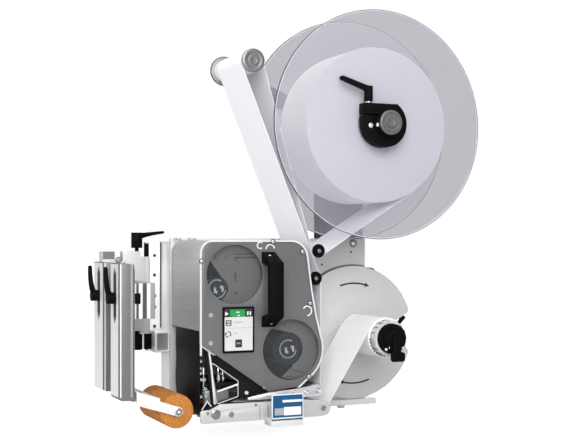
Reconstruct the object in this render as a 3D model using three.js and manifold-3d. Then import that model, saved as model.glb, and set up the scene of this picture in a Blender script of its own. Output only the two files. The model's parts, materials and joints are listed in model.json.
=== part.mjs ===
// A case labeling machine: a print-and-apply label unit on a base bar.
// Millimetres, +Z up. X runs right from the supply reel's axis, Y runs back from the
// main plate's front face, and Z runs up from the underside of the base bar.
import * as THREE from "three";
import { mergeVertices } from "three/addons/utils/BufferGeometryUtils.js";
import Module from "manifold-3d";

const wasm = await Module();
wasm.setup();

// Clearances, shared walls and tool overrun
const seat = 0.3; // gap left between two pieces that touch
const running = 0.6; // radial gap round a shaft that turns
const overrun = 4; // how far every cutting tool passes its work
const fineSides = 60; // sides of the largest round pieces
const roundSides = 32;
const smallSides = 16;
const bendStep = 0.32; // radians between two points of a web that wraps a roller
const weldShare = 1e-4; // points nearer than this are one

// Base bar, main plate and cabinet
const bar = { left: -343.4, right: 68, front: -5, depth: 143, height: 11.3 };
const plate = { left: bar.left, right: 46.4, thick: 6, top: 317.5, bottom: bar.height + seat };
const cabinet = { wall: 2.5, depth: 50.4, topDrop: 5.5, room: 2 };
const rearBox = { wall: 2, depth: 62, sideInset: 26, lift: 8, topDrop: 8 };
const rail = { width: 24.1, thick: 3, bottom: 130, top: 311 };

// Square tube and hinge on the left of the cabinet
const tube = { width: 28.3, bottom: 114, height: 38, wall: 4, length: 120 };
const hinge = { x: -382, y: 20, pinRadius: 2.5, barrelRadius: 6.5, top: 308, bottom: 119 };
const knuckle = { radius: 4.5, topHeight: 23, bottomHeight: 28, leafX: -370, leafRight: -330 };

// Mast, roller arm and label supply reel
const reel = { z: 521, boreRadius: 11, discRadius: 205, discThick: 3, webFront: -139.6, webWidth: 116.5 };
const mast = {
  halfWidth: 45,
  thick: 3.5,
  lap: 60,
  topRise: 62,
  flange: 25,
  barWidth: 12,
  cornerShare: 0.5,
  flangeDropShare: 0.6,
};
const arm = { topRollerX: -241.8, topRollerZ: 621.7, width: 30, thick: 6, hubRadius: 34 };
const bearing = { outer: 22, flangeRadius: 30, flangeThick: 9, tail: 22 };
const label = { rollRadius: 139.3, mandrelRadius: 38, sideGap: 0.4, frontDiscGap: 7.4 };
const reelClamp = {
  radius: 42,
  flatTop: 35,
  depth: 21.7,
  noseRadius: 18,
  noseLength: 33,
  dimpleShare: 0.4,
  slit: 3,
  slitRise: 13,
  sides: 26,
};
const reelLever = {
  x: -29,
  postRadius: 7.8,
  stand: 4,
  postTop: 66,
  reach: 51.5,
  rise: 17,
  root: 5.5,
  tip: 3.9,
};

// Rollers that guide the web
const journal = { radius: 4, reach: 4 };
const topRoller = { bodyRadius: 19, capRadius: 20, capLength: 9, flangeRadius: 30, flangeThick: 3 };
const guideUpper = { x: -116.8, z: 295.6, radius: 10, capRadius: 12, capLength: 5 };
const guideLower = { x: -122.8, z: 247.6, radius: 10, capRadius: 12, capLength: 5 };
const endUpper = { x: -125.5, z: 53.5, radius: 11.7 };
const endLower = { x: -113.8, z: 22, radius: 12 };
const platen = { x: -314, z: 24, radius: 14 };
const web = { thick: 0.6, rollGap: 0.4 };

// Liner rewinder
const rewind = { x: 18, z: 138.7, discRadius: 126.5, discThick: 2, discBack: -6, rollRadius: 36 };
const rewindDrum = {
  radius: 32.6,
  wall: 5,
  shaftRadius: 6,
  front: -156,
  backWall: 6,
  ribs: 16,
  ribShare: 0.4,
  ribDepth: 1.6,
};
const rewindNotch = { apexX: 82, apexZ: 14, upper: 17, lower: -18.5, soft: 8, run: 7 };
const rewindKnob = { radius: 23.5, depth: 17.7, ribs: 24, ribDepth: 1.4, pinRadius: 4 };
const rewindLever = {
  left: -7,
  right: 9,
  top: 9,
  neck: -22,
  tabLeft: -10,
  tabRight: 17,
  shoulder: -25,
  bottom: -40,
  soft: 5,
  thick: 4.5,
};
const motor = { half: 24, length: 62, bodyInset: 3, faceThick: 6 };
const gearbox = { half: 20, height: 66, thick: 14, motorRadius: 19, motorLength: 30 };

// Print module: cassette cover, its windows and what stands behind it
const cover = {
  front: -157,
  thick: 4,
  left: -338.5,
  right: -151,
  top: 311,
  cornerLeft: 18,
  cornerRight: 28,
  shoulderX: -139.9,
  shoulderZ: 227.6,
  hipX: -131,
  hipZ: 180,
  bulge: 57.5,
  bulgeFrom: 14,
  bulgeTo: -58,
  bulgeSides: 10,
  toeX: -163.5,
  toeZ: 62.3,
  footX: -218.5,
  footZ: 56.2,
  lowLeftZ: 139.8,
  soft: 6,
};
const windowUpper = { x: -279.7, z: 256.6, radius: 50 };
const windowLower = { x: -176.4, z: 125.9, radius: 52 };
const windowPane = { thick: 2.4, sink: 0.8 };
const housing = { wall: 2.6, gap: 0.6, lowerEdge: 162.7, rimDrop: 41, rimWidth: 4 };
const display = {
  left: -301.7,
  right: -245.6,
  bottom: 124.7,
  top: 201.7,
  proud: 3,
  depth: 24,
  bezel: 4,
  header: 13,
  footer: 4,
  screenSink: 1,
};
const handle = { left: -231.5, right: -206.5, bottom: 166, top: 295, reach: 40, foot: 19, grip: 12 };
const cassette = {
  backFront: -18,
  backThick: 3,
  inset: 9,
  postRadius: 5,
  postInset: 15.7,
  spindleRadius: 5,
};
const spool = { front: -143, hubRadius: 16.5, hubProud: 3.4, bore: 5.6, capLength: 6 };
const ribbonSupply = { x: -306.7, z: 232.2, radius: 20 };
const ribbonTakeup = { x: -176.3, z: 126, radius: 28 };
const guard = { thick: 2, front: -152, back: -22, bottom: 36, rearBottom: 26, waves: 2, waveDepth: 4 };

// Print head, its bracket, and the two arms that carry the web past it
const bracket = {
  thick: 4,
  lap: 10,
  kneeX: -270.6,
  kneeZ: 46.2,
  toeX: -311.8,
  toeZ: 33.4,
  heelX: -319,
  holeLeft: -321.6,
  holeTop: 110,
  holeRight: -273.3,
  holeShoulder: 76,
  holeBottom: 50.6,
  holeToeX: -310.4,
  holeToeZ: 40,
  holeRadius: 3,
};
const head = { left: -331, right: -288, bottom: 39.6, top: 62 };
const webArm = {
  thick: 4,
  left: -341,
  bottom: 8,
  corner: 5,
  rise: 30,
  heel: -325,
  shoulderLeft: -306,
  shoulder: 39,
  shoulderRight: -154,
  endRadius: 13,
  beamLeft: -294,
  beamRight: -238,
  beamBottom: 14,
  beamTop: 31,
  upperLeft: -256,
  upperBottom: 43.4,
  upperRadius: 10.4,
};
const sensor = {
  left: -226,
  right: -168,
  bottom: 1,
  top: 55,
  front: -190,
  signThick: 1.6,
  signBottom: 14,
  blockTop: 13,
  stemInset: 8,
  stemThick: 8,
};

// Applicator on the left: carrier, beam, posts, bracket and foam roller
const post = { left: -479.4, right: -453.5, top: 276.8, wall: 4, corner: 12 };
const frontPost = { front: -156, back: -101.7, bottom: 53, lugFront: -151.7 };
const rearPost = { front: -55.4, back: 10.1, bottom: 57, lugFront: -20.8 };
const slot = { bottom: 182.5, top: 264, width: 13 };
const beam = { width: 36, bottom: 185.4, top: 244.4, front: -150, grooveDepth: 3 };
const beamGrooves = [
  [4.3, 7.7],
  [15.5, 21.7],
];
const carrier = {
  right: -389.4,
  front: 10.4,
  back: 30,
  bottom: 153,
  top: 294.5,
  knuckleRoom: 14,
  threadDepth: 14,
};
const carrierFlange = { left: -464.2, right: -442.6, back: 35, notchRight: -427.9, notchBottom: 278 };
const postLever = {
  z: 219.5,
  screwRadius: 4,
  hubRadius: 9.5,
  rootShare: 0.92,
  bendShare: 0.3,
  hubLength: 13,
  lean: 4.8,
  stand: 0.8,
  grip: 14,
  rise: 48.5,
  tip: 3,
};
const hingeLever = {
  x: -400.5,
  y: 18,
  hubRadius: 10,
  hubBottom: 300.5,
  hubTop: 328,
  reach: 48,
  armHalf: 7.5,
  armRise: 8,
  bendShare: 0.3,
  tip: 2.4,
  stem: 3.5,
};
const hingeKnob = { radius: 10, bottom: 119, stand: 6.3 };
const roller = {
  x: -379.2,
  z: 30.7,
  radius: 28.6,
  front: -150,
  back: -17.5,
  axleRadius: 4,
  headRadius: 6.5,
  headThick: 3,
};
const fork = {
  pivotX: -447,
  pivotZ: 57,
  armThick: 4,
  left: -450,
  top: 67,
  bottom: 45,
  stepX: -410.5,
  stepTop: 54.5,
  step: 5,
  webThick: 3,
  endRadius: 8,
  pinRadius: 3,
};
const lug = { width: 13, above: 9, below: 6, thick: 5 };

// Finishes: colour, roughness and metalness
const finish = {
  paintedWhite: [0xe4e4e8, 0.45, 0.1],
  brushed: [0xc2c4c8, 0.35, 0.85],
  anodised: [0xd9dade, 0.4, 0.6],
  chrome: [0xe6e8ea, 0.12, 1],
  clear: [0xcfd0dc, 0.15, 0],
  paper: [0xf1eef6, 0.8, 0],
  black: [0x1d1d1f, 0.5, 0],
  smoked: [0x757577, 0.4, 0],
  windowTint: [0x4a4c50, 0.1, 0],
  blue: [0x0f5e9c, 0.5, 0],
  foam: [0xd98a3d, 0.9, 0],
  ribbon: [0x2b2a2e, 0.5, 0],
};
const materials = Object.fromEntries(
  Object.entries(finish).map(([key, [color, roughness, metalness]]) => [
    key,
    new THREE.MeshStandardMaterial({ color, roughness, metalness }),
  ]),
);

// A closed geometry as a solid that can be joined and cut.
function solid(geometry) {
  const bare = geometry.clone();
  for (const key of Object.keys(bare.attributes)) if (key !== "position") bare.deleteAttribute(key);
  const merged = mergeVertices(bare, weldShare);
  return new wasm.Manifold(
    new wasm.Mesh({
      numProp: 3,
      vertProperties: new Float32Array(merged.attributes.position.array),
      triVerts: new Uint32Array(merged.index.array),
    }),
  );
}

// A solid as a named mesh in a group.
function part(group, name, body, look) {
  const mesh = body.getMesh();
  const geometry = new THREE.BufferGeometry();
  geometry.setAttribute("position", new THREE.BufferAttribute(mesh.vertProperties, mesh.numProp));
  geometry.setIndex(new THREE.BufferAttribute(mesh.triVerts, 1));
  geometry.computeVertexNormals();
  const made = new THREE.Mesh(geometry, materials[look]);
  made.name = name;
  group.add(made);
  return made;
}

// A block between two places on each axis.
function box([x0, x1], [y0, y1], [z0, z1]) {
  const geometry = new THREE.BoxGeometry(x1 - x0, y1 - y0, z1 - z0);
  geometry.translate((x0 + x1) / 2, (y0 + y1) / 2, (z0 + z1) / 2);
  return solid(geometry);
}

// Round bars along each axis, from one place on it to another.
function rodY(x, z, radius, [y0, y1], sides = roundSides) {
  const geometry = new THREE.CylinderGeometry(radius, radius, y1 - y0, sides);
  geometry.translate(x, (y0 + y1) / 2, z);
  return solid(geometry);
}
function rodX(y, z, radius, [x0, x1], sides = smallSides) {
  const geometry = new THREE.CylinderGeometry(radius, radius, x1 - x0, sides);
  geometry.rotateZ(Math.PI / 2);
  geometry.translate((x0 + x1) / 2, y, z);
  return solid(geometry);
}
function rodZ(x, y, radius, [z0, z1], sides = smallSides) {
  const geometry = new THREE.CylinderGeometry(radius, radius, z1 - z0, sides);
  geometry.rotateX(Math.PI / 2);
  geometry.translate(x, y, (z0 + z1) / 2);
  return solid(geometry);
}

// An outline in X and Z, pushed along Y between two places.
function slab(points, [y0, y1]) {
  const ring = points.map(([x, z]) => new THREE.Vector2(x, z));
  if (THREE.ShapeUtils.isClockWise(ring)) ring.reverse();
  const geometry = new THREE.ExtrudeGeometry(new THREE.Shape(ring), {
    depth: y1 - y0,
    bevelEnabled: false,
  });
  geometry.rotateX(Math.PI / 2);
  geometry.translate(0, y1, 0);
  return solid(geometry);
}

// An outline in Y and Z, pushed along X between two places.
function slabX(points, [x0, x1]) {
  const geometry = new THREE.ExtrudeGeometry(
    new THREE.Shape(points.map(([y, z]) => new THREE.Vector2(y, z))),
    { depth: x1 - x0, bevelEnabled: false },
  );
  geometry.rotateX(Math.PI / 2);
  geometry.rotateZ(Math.PI / 2);
  geometry.translate(x0, 0, 0);
  return solid(geometry);
}

// An outline in X and Y pushed along Z.
function slabZ(points, [z0, z1]) {
  const turned = points.map(([x, y]) => [x, -y]);
  return slab(turned, [z0, z1]).rotate([90, 0, 0]);
}

// Points along an arc, with angles in degrees.
function arc([x, z], radius, from, to, steps) {
  return Array.from({ length: steps + 1 }, (_, i) => {
    const a = THREE.MathUtils.degToRad(from + ((to - from) * i) / steps);
    return [x + radius * Math.cos(a), z + radius * Math.sin(a)];
  });
}

// An outline whose corners, written as [x, z, radius], are rounded.
function rounded(corners, steps = 5) {
  return corners.flatMap(([x, z, radius = 0], i) => {
    if (!radius) return [[x, z]];
    const [bx, bz] = corners[(i + corners.length - 1) % corners.length];
    const [ax, az] = corners[(i + 1) % corners.length];
    const back = new THREE.Vector2(bx - x, bz - z).normalize();
    const ahead = new THREE.Vector2(ax - x, az - z).normalize();
    const half = Math.acos(THREE.MathUtils.clamp(back.dot(ahead), -1, 1)) / 2;
    const centre = back.clone().add(ahead).normalize();
    centre.multiplyScalar(radius / Math.sin(half)).add(new THREE.Vector2(x, z));
    const run = radius / Math.tan(half);
    const start = Math.atan2(z + back.y * run - centre.y, x + back.x * run - centre.x);
    let turn = Math.atan2(z + ahead.y * run - centre.y, x + ahead.x * run - centre.x) - start;
    turn = Math.atan2(Math.sin(turn), Math.cos(turn));
    return Array.from({ length: steps + 1 }, (_, k) => {
      const a = start + (turn * k) / steps;
      return [centre.x + radius * Math.cos(a), centre.y + radius * Math.sin(a)];
    });
  });
}

// An outline moved outwards, or inwards with a negative distance.
function grown(points, distance) {
  const ring = points.map(([x, z]) => new THREE.Vector2(x, z));
  const side = THREE.ShapeUtils.isClockWise(ring) ? -1 : 1;
  return ring.map((p, i) => {
    const before = p.clone().sub(ring[(i + ring.length - 1) % ring.length]).normalize();
    const after = ring[(i + 1) % ring.length].clone().sub(p).normalize();
    const normal = new THREE.Vector2(before.y + after.y, -before.x - after.x).normalize();
    const miter = distance / Math.max(normal.dot(new THREE.Vector2(after.y, -after.x)), 0.4);
    return [p.x + normal.x * miter * side, p.y + normal.y * miter * side];
  });
}

// A lever's arm: an outline that tapers along a curve from the origin to its end.
function blade(end, bend, rootHalf, tipHalf, steps = 6) {
  const curve = new THREE.QuadraticBezierCurve(
    new THREE.Vector2(),
    new THREE.Vector2(...bend),
    new THREE.Vector2(...end),
  );
  const side = (sign) =>
    Array.from({ length: steps + 1 }, (_, i) => {
      const share = i / steps;
      const p = curve.getPoint(share);
      const n = curve.getTangent(share);
      const half = sign * THREE.MathUtils.lerp(rootHalf, tipHalf, Math.sqrt(share));
      return [p.x - n.y * half, p.y + n.x * half];
    });
  return [...side(1), ...side(-1).reverse()];
}

// The straight run between two circles that a web wraps. A turn of 1 is anticlockwise and -1 clockwise.
function tangent(a, b) {
  const along = new THREE.Vector2(b.x - a.x, b.z - a.z);
  const length = along.length();
  const offset = b.turn * b.radius - a.turn * a.radius;
  const heading = Math.atan2(along.y, along.x) - Math.asin(offset / length);
  const touch = (c) => [
    c.x + c.turn * c.radius * Math.sin(heading),
    c.z - c.turn * c.radius * Math.cos(heading),
  ];
  return { heading, leave: touch(a), meet: touch(b) };
}

// A web round a list of circles, as a strip of even thickness.
function strip(circles, thick, [y0, y1]) {
  const runs = circles.slice(1).map((c, i) => tangent(circles[i], c));
  const path = [[runs[0].leave, runs[0].heading]];
  runs.forEach((run, i) => {
    path.push([run.meet, run.heading]);
    const next = runs[i + 1];
    if (!next) return;
    const c = circles[i + 1];
    let swing = next.heading - run.heading;
    while (swing * c.turn < 0) swing += 2 * Math.PI * c.turn;
    const steps = Math.max(2, Math.ceil(Math.abs(swing) / bendStep));
    for (let k = 1; k <= steps; k++) {
      const h = run.heading + (swing * k) / steps;
      path.push([
        [c.x + c.turn * c.radius * Math.sin(h), c.z - c.turn * c.radius * Math.cos(h)],
        h,
      ]);
    }
  });
  const side = (sign) =>
    path.map(([[x, z], h]) => [
      x - (sign * thick * Math.sin(h)) / 2,
      z + (sign * thick * Math.cos(h)) / 2,
    ]);
  return slab([...side(1), ...side(-1).reverse()], [y0, y1]);
}

// A circle that the web wraps, at the distance that the web's middle keeps from its centre.
const wrapped = ({ x, z, radius, turn }) => ({
  x,
  z,
  turn,
  radius: radius + web.rollGap + web.thick / 2,
});

const machine = new THREE.Group();

// Places that more than one sub-part is built from
const cabinetFront = plate.thick + seat;
const cabinetBack = cabinetFront + cabinet.depth;
const cabinetTop = plate.top - cabinet.topDrop;
const webBack = reel.webFront + reel.webWidth;
const mastFront = cabinetFront;
const flangeEnd = mastFront + bearing.tail + overrun;
const coverBack = cover.front + cover.thick;

// Base bar, main plate, the cabinet behind it and its rear cover.
function makeFrame() {
  const base = box([bar.left, bar.right], [bar.front, bar.front + bar.depth], [0, bar.height]);
  part(machine, "base_bar", base, "anodised");

  let main = box([plate.left, plate.right], [0, plate.thick], [plate.bottom, plate.top]);
  const shafts = [guideUpper, guideLower, endUpper, endLower, platen];
  const through = [-overrun, plate.thick + overrun];
  for (const { x, z } of shafts)
    main = main.subtract(rodY(x, z, journal.radius + running, through, smallSides));
  main = main.subtract(rodY(rewind.x, rewind.z, rewindDrum.shaftRadius + running, through));
  part(machine, "main_plate", main, "paintedWhite");

  const outer = box([plate.left, plate.right], [cabinetFront, cabinetBack], [plate.bottom, cabinetTop]);
  const inner = box(
    [plate.left + cabinet.wall, plate.right - cabinet.wall],
    [cabinetFront - overrun, cabinetBack + overrun],
    [plate.bottom + cabinet.wall, cabinetTop - cabinet.wall],
  );
  const notch = box(
    [-mast.halfWidth - cabinet.room, plate.right + overrun],
    [cabinetFront - overrun, mastFront + mast.flange + cabinet.room],
    [plate.top - mast.lap - cabinet.room, cabinetTop + overrun],
  );
  part(machine, "cabinet_shell", outer.subtract(inner).subtract(notch), "paintedWhite");

  const left = plate.left + rearBox.sideInset;
  const back = cabinetBack + seat + rearBox.depth;
  const low = plate.bottom + rearBox.lift;
  const high = cabinetTop - rearBox.topDrop;
  const pan = box([left, plate.right], [cabinetBack + seat, back], [low, high]).subtract(
    box(
      [left + rearBox.wall, plate.right - rearBox.wall],
      [cabinetBack - overrun, back - rearBox.wall],
      [low + rearBox.wall, high - rearBox.wall],
    ),
  );
  part(machine, "rear_cover", pan, "paintedWhite");

  const strap = box(
    [plate.left - rail.width, left - seat],
    [cabinetBack + seat, cabinetBack + seat + rail.thick],
    [rail.bottom, rail.top],
  ).subtract(
    box(
      [plate.left - rail.width - overrun, plate.left],
      [cabinetBack - overrun, cabinetBack + rail.thick + overrun],
      [rail.bottom - overrun, tube.bottom + tube.height + seat],
    ),
  );
  part(machine, "side_rail", strap, "anodised");
}

// The square tube beside the cabinet, and the hinge's knuckles and pin.
function makeHinge() {
  const right = plate.left - seat;
  const left = right - tube.width;
  const top = tube.bottom + tube.height;
  const bore = box(
    [left + tube.wall, right - tube.wall],
    [-overrun, tube.length + overrun],
    [tube.bottom + tube.wall, top - tube.wall],
  );
  const square = box([left, right], [0, tube.length], [tube.bottom, top]);
  part(machine, "support_tube", square.subtract(bore), "anodised");

  const { x, y, pinRadius } = hinge;
  const pinHole = rodZ(x, y, pinRadius + seat, [hinge.bottom - overrun, hinge.top + overrun]);
  const r = knuckle.radius;
  const topSpan = [hinge.top - knuckle.topHeight, hinge.top];
  const leafFront = cabinetBack + seat + rail.thick + seat;
  const across = new THREE.Vector2(leafFront - y, x - knuckle.leafX).normalize().multiplyScalar(r / 2);
  const bend = [
    [x - across.x, y - across.y],
    [x + across.x, y + across.y],
    [knuckle.leafX + across.x, leafFront + across.y + r],
    [knuckle.leafX - across.x, leafFront - across.y + r],
  ];
  const upper = rodZ(x, y, r, topSpan)
    .add(slabZ(bend, topSpan))
    .add(box([knuckle.leafX - r / 2, knuckle.leafRight], [leafFront, leafFront + r], topSpan));
  part(machine, "hinge_knuckle_top", upper.subtract(pinHole), "black");
  const lowSpan = [hinge.bottom, hinge.bottom + knuckle.bottomHeight];
  const lower = rodZ(x, y, r, lowSpan).add(box([x, left - seat], [y, y + r], lowSpan));
  part(machine, "hinge_knuckle_bottom", lower.subtract(pinHole), "black");
  const head = rodZ(x, y, knuckle.radius, [hinge.top + seat, hinge.top + seat + pinRadius]);
  const pin = rodZ(x, y, pinRadius, [hinge.bottom - pinRadius, hinge.top + pinRadius]);
  part(machine, "hinge_pin", pin.add(head), "chrome");
}

// The mast that rises behind the reel, its bearing and the long arm to the top roller.
function makeMast() {
  const bottom = plate.top - mast.lap;
  const top = reel.z + mast.topRise;
  const sheet = [mastFront, mastFront + mast.thick];
  const left = -mast.halfWidth;
  const right = mast.halfWidth;
  const flangeBack = mastFront + mast.flange;
  const corner = mast.halfWidth * mast.cornerShare;
  const outline = [[left, bottom], [right, bottom], [right, top, corner], [left, top, corner]];
  let body = slab(rounded(outline), sheet);
  const flangeTop = top - mast.halfWidth * mast.flangeDropShare;
  for (const [x0, x1] of [[left, left + mast.thick], [right - mast.thick, right]])
    body = body.add(box([x0, x1], [mastFront, flangeBack], [bottom, flangeTop]));
  body = body.add(box([left - mast.barWidth, left + mast.thick], sheet, [plate.top, flangeTop]));
  const hole = rodY(0, reel.z, bearing.outer + seat, [-overrun, flangeBack + overrun]);
  part(machine, "mast", body.subtract(hole), "brushed");

  const angle = Math.atan2(arm.topRollerZ - reel.z, arm.topRollerX);
  const across = new THREE.Vector2(-Math.sin(angle), Math.cos(angle)).multiplyScalar(arm.width / 2);
  const through = [-overrun, arm.thick + overrun];
  const flat = slab(
    [
      [across.x, reel.z + across.y],
      [arm.topRollerX + across.x, arm.topRollerZ + across.y],
      [arm.topRollerX - across.x, arm.topRollerZ - across.y],
      [-across.x, reel.z - across.y],
    ],
    [0, arm.thick],
  )
    .add(rodY(0, reel.z, arm.hubRadius, [0, arm.thick]))
    .add(rodY(arm.topRollerX, arm.topRollerZ, arm.width / 2, [0, arm.thick]))
    .subtract(rodY(0, reel.z, bearing.outer + seat, through))
    .subtract(rodY(arm.topRollerX, arm.topRollerZ, journal.radius + running, through));
  part(machine, "roller_arm", flat, "brushed");

  const flange = rodY(0, reel.z, bearing.flangeRadius, [-seat - bearing.flangeThick, -seat]);
  const sleeve = rodY(0, reel.z, bearing.outer, [-seat - bearing.flangeThick, mastFront + bearing.tail]);
  const bore = rodY(0, reel.z, reel.boreRadius + running, [-overrun - bearing.flangeRadius, flangeEnd]);
  part(machine, "reel_bearing", sleeve.add(flange).subtract(bore), "chrome");
}

// The supply reel: shaft with mandrel, two clear discs, the label roll, and the clamp in front.
function makeReel() {
  const group = new THREE.Group();
  group.position.set(0, 0, reel.z);
  machine.add(group);
  const rearDisc = [webBack + label.sideGap, webBack + label.sideGap + reel.discThick];
  const frontDisc = [
    reel.webFront - label.frontDiscGap - reel.discThick,
    reel.webFront - label.frontDiscGap,
  ];
  const clampBack = frontDisc[0] - seat;
  const clampFront = clampBack - reelClamp.depth;
  const noseFront = clampFront - reelClamp.noseLength;
  const shoulder = rearDisc[1] + seat;
  const dimple = [noseFront - overrun, noseFront + overrun / 2];
  const shaft = rodY(0, 0, reel.boreRadius, [noseFront, flangeEnd + overrun])
    .add(rodY(0, 0, reelClamp.noseRadius, [noseFront, frontDisc[1] + seat]))
    .add(rodY(0, 0, label.mandrelRadius, [frontDisc[1] + seat, rearDisc[0] - seat]))
    .add(rodY(0, 0, bearing.outer, [shoulder, shoulder + overrun]))
    .subtract(rodY(0, 0, reelClamp.noseRadius * reelClamp.dimpleShare, dimple, smallSides));
  part(group, "reel_shaft", shaft, "anodised");

  const disc = (span, bore) =>
    rodY(0, 0, reel.discRadius, span, fineSides).subtract(
      rodY(0, 0, bore + seat, [span[0] - overrun, span[1] + overrun]),
    );
  part(group, "rear_reel_disc", disc(rearDisc, reel.boreRadius), "clear");
  part(group, "front_reel_disc", disc(frontDisc, reelClamp.noseRadius), "clear");
  const roll = rodY(0, 0, label.rollRadius, [reel.webFront, webBack], fineSides).subtract(
    rodY(0, 0, label.mandrelRadius + seat, [reel.webFront - overrun, webBack + overrun]),
  );
  part(group, "label_roll", roll, "paper");

  const r = reelClamp.radius;
  const flat = reelClamp.flatTop;
  const edge = THREE.MathUtils.radToDeg(Math.asin(flat / r));
  const outline = [[-r, flat], [-r, 0], ...arc([0, 0], r, 180, 360 + edge, reelClamp.sides).slice(1)];
  const slit = box(
    [-r - overrun, -reelClamp.noseRadius / 2],
    [clampFront - overrun, clampBack + overrun],
    [reelClamp.slitRise, reelClamp.slitRise + reelClamp.slit],
  );
  const block = slab(outline, [clampFront, clampBack])
    .subtract(rodY(0, 0, reelClamp.noseRadius + seat, [clampFront - overrun, clampBack + overrun]))
    .subtract(slit);
  part(group, "reel_clamp_block", block, "black");

  const lever = new THREE.Group();
  const middle = (clampFront + clampBack) / 2;
  lever.position.set(reelLever.x, middle, 0);
  group.add(lever);
  const hub = rodZ(0, 0, reelLever.postRadius, [flat + reelLever.stand, reelLever.postTop]);
  const stem = rodZ(0, 0, reelLever.postRadius / 2, [flat + seat, reelLever.postTop]);
  const tip = [-reelLever.reach, reelLever.rise];
  const bend = [tip[0] / 2, tip[1] / 2];
  const root = reelLever.postTop - reelLever.root;
  const thick = [-reelLever.tip, reelLever.tip];
  const grip = slab(
    blade(tip, bend, reelLever.root, reelLever.tip).map(([x, z]) => [x, z + root]),
    thick,
  ).add(rodY(tip[0], tip[1] + root, reelLever.tip, thick, smallSides));
  part(lever, "reel_clamp_lever", stem.add(hub).add(grip), "black");
}

// The rollers that the web runs over, each turning on its own journals.
function makeGuideRollers() {
  const front = reel.webFront;
  const rear = webBack;
  const bodyFront = coverBack + bracket.thick + seat * 2;
  const shaftBack = plate.thick + journal.reach;
  const made = (name, { x, z }, body, look) => {
    const group = new THREE.Group();
    group.position.set(x, 0, z);
    machine.add(group);
    part(group, name, body, look);
  };
  const guides = [["guide_roller_upper", guideUpper], ["guide_roller_lower", guideLower]];
  for (const [name, guide] of guides) {
    const body = rodY(0, 0, guide.radius, [front, rear + seat])
      .add(rodY(0, 0, guide.capRadius, [front - guide.capLength, front]))
      .add(rodY(0, 0, guide.capRadius, [rear + seat, -running]))
      .add(rodY(0, 0, journal.radius, [rear, shaftBack], smallSides));
    made(name, guide, body, "chrome");
  }
  const tube = [bodyFront + seat, bar.front - running];
  const ends = [["upper_end_roller", endUpper], ["lower_end_roller", endLower]];
  for (const [name, guide] of ends) {
    const body = rodY(0, 0, guide.radius, tube)
      .add(rodY(0, 0, journal.radius, [cover.front + running, shaftBack], smallSides));
    made(name, guide, body, "chrome");
  }
  const driveShaft = [cover.front + running, shaftBack + motor.faceThick];
  const drive = rodY(0, 0, platen.radius, tube).add(rodY(0, 0, journal.radius, driveShaft, smallSides));
  made("platen_roller", platen, drive, "black");
  const top = rodY(0, 0, topRoller.bodyRadius, [front - topRoller.capLength, -running])
    .add(rodY(0, 0, topRoller.capRadius, [front - topRoller.capLength, front - seat]))
    .add(rodY(0, 0, topRoller.flangeRadius, [-running - topRoller.flangeThick, -running]))
    .add(rodY(0, 0, journal.radius, [rear, arm.thick + journal.reach], smallSides));
  made("top_roller", { x: arm.topRollerX, z: arm.topRollerZ }, top, "chrome");
}

// The printed web from the roll to the platen, and the liner from there to the rewinder.
function makeWeb() {
  const span = [reel.webFront, webBack];
  const roll = { x: 0, z: reel.z, radius: label.rollRadius, turn: -1 };
  const top = { x: arm.topRollerX, z: arm.topRollerZ, radius: topRoller.bodyRadius, turn: 1 };
  const path = [
    roll,
    { ...guideUpper, turn: -1 },
    top,
    { ...guideLower, turn: -1 },
    { ...endUpper, turn: -1 },
    { ...platen, turn: 1 },
  ].map(wrapped);
  part(machine, "label_web", strip(path, web.thick, span), "paper");
  const wound = { x: rewind.x, z: rewind.z, radius: rewind.rollRadius, turn: -1 };
  const back = [{ ...platen, turn: 1 }, { ...endLower, turn: 1 }, wound].map(wrapped);
  part(machine, "backing_web", strip(back, web.thick, span), "paper");
}

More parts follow.
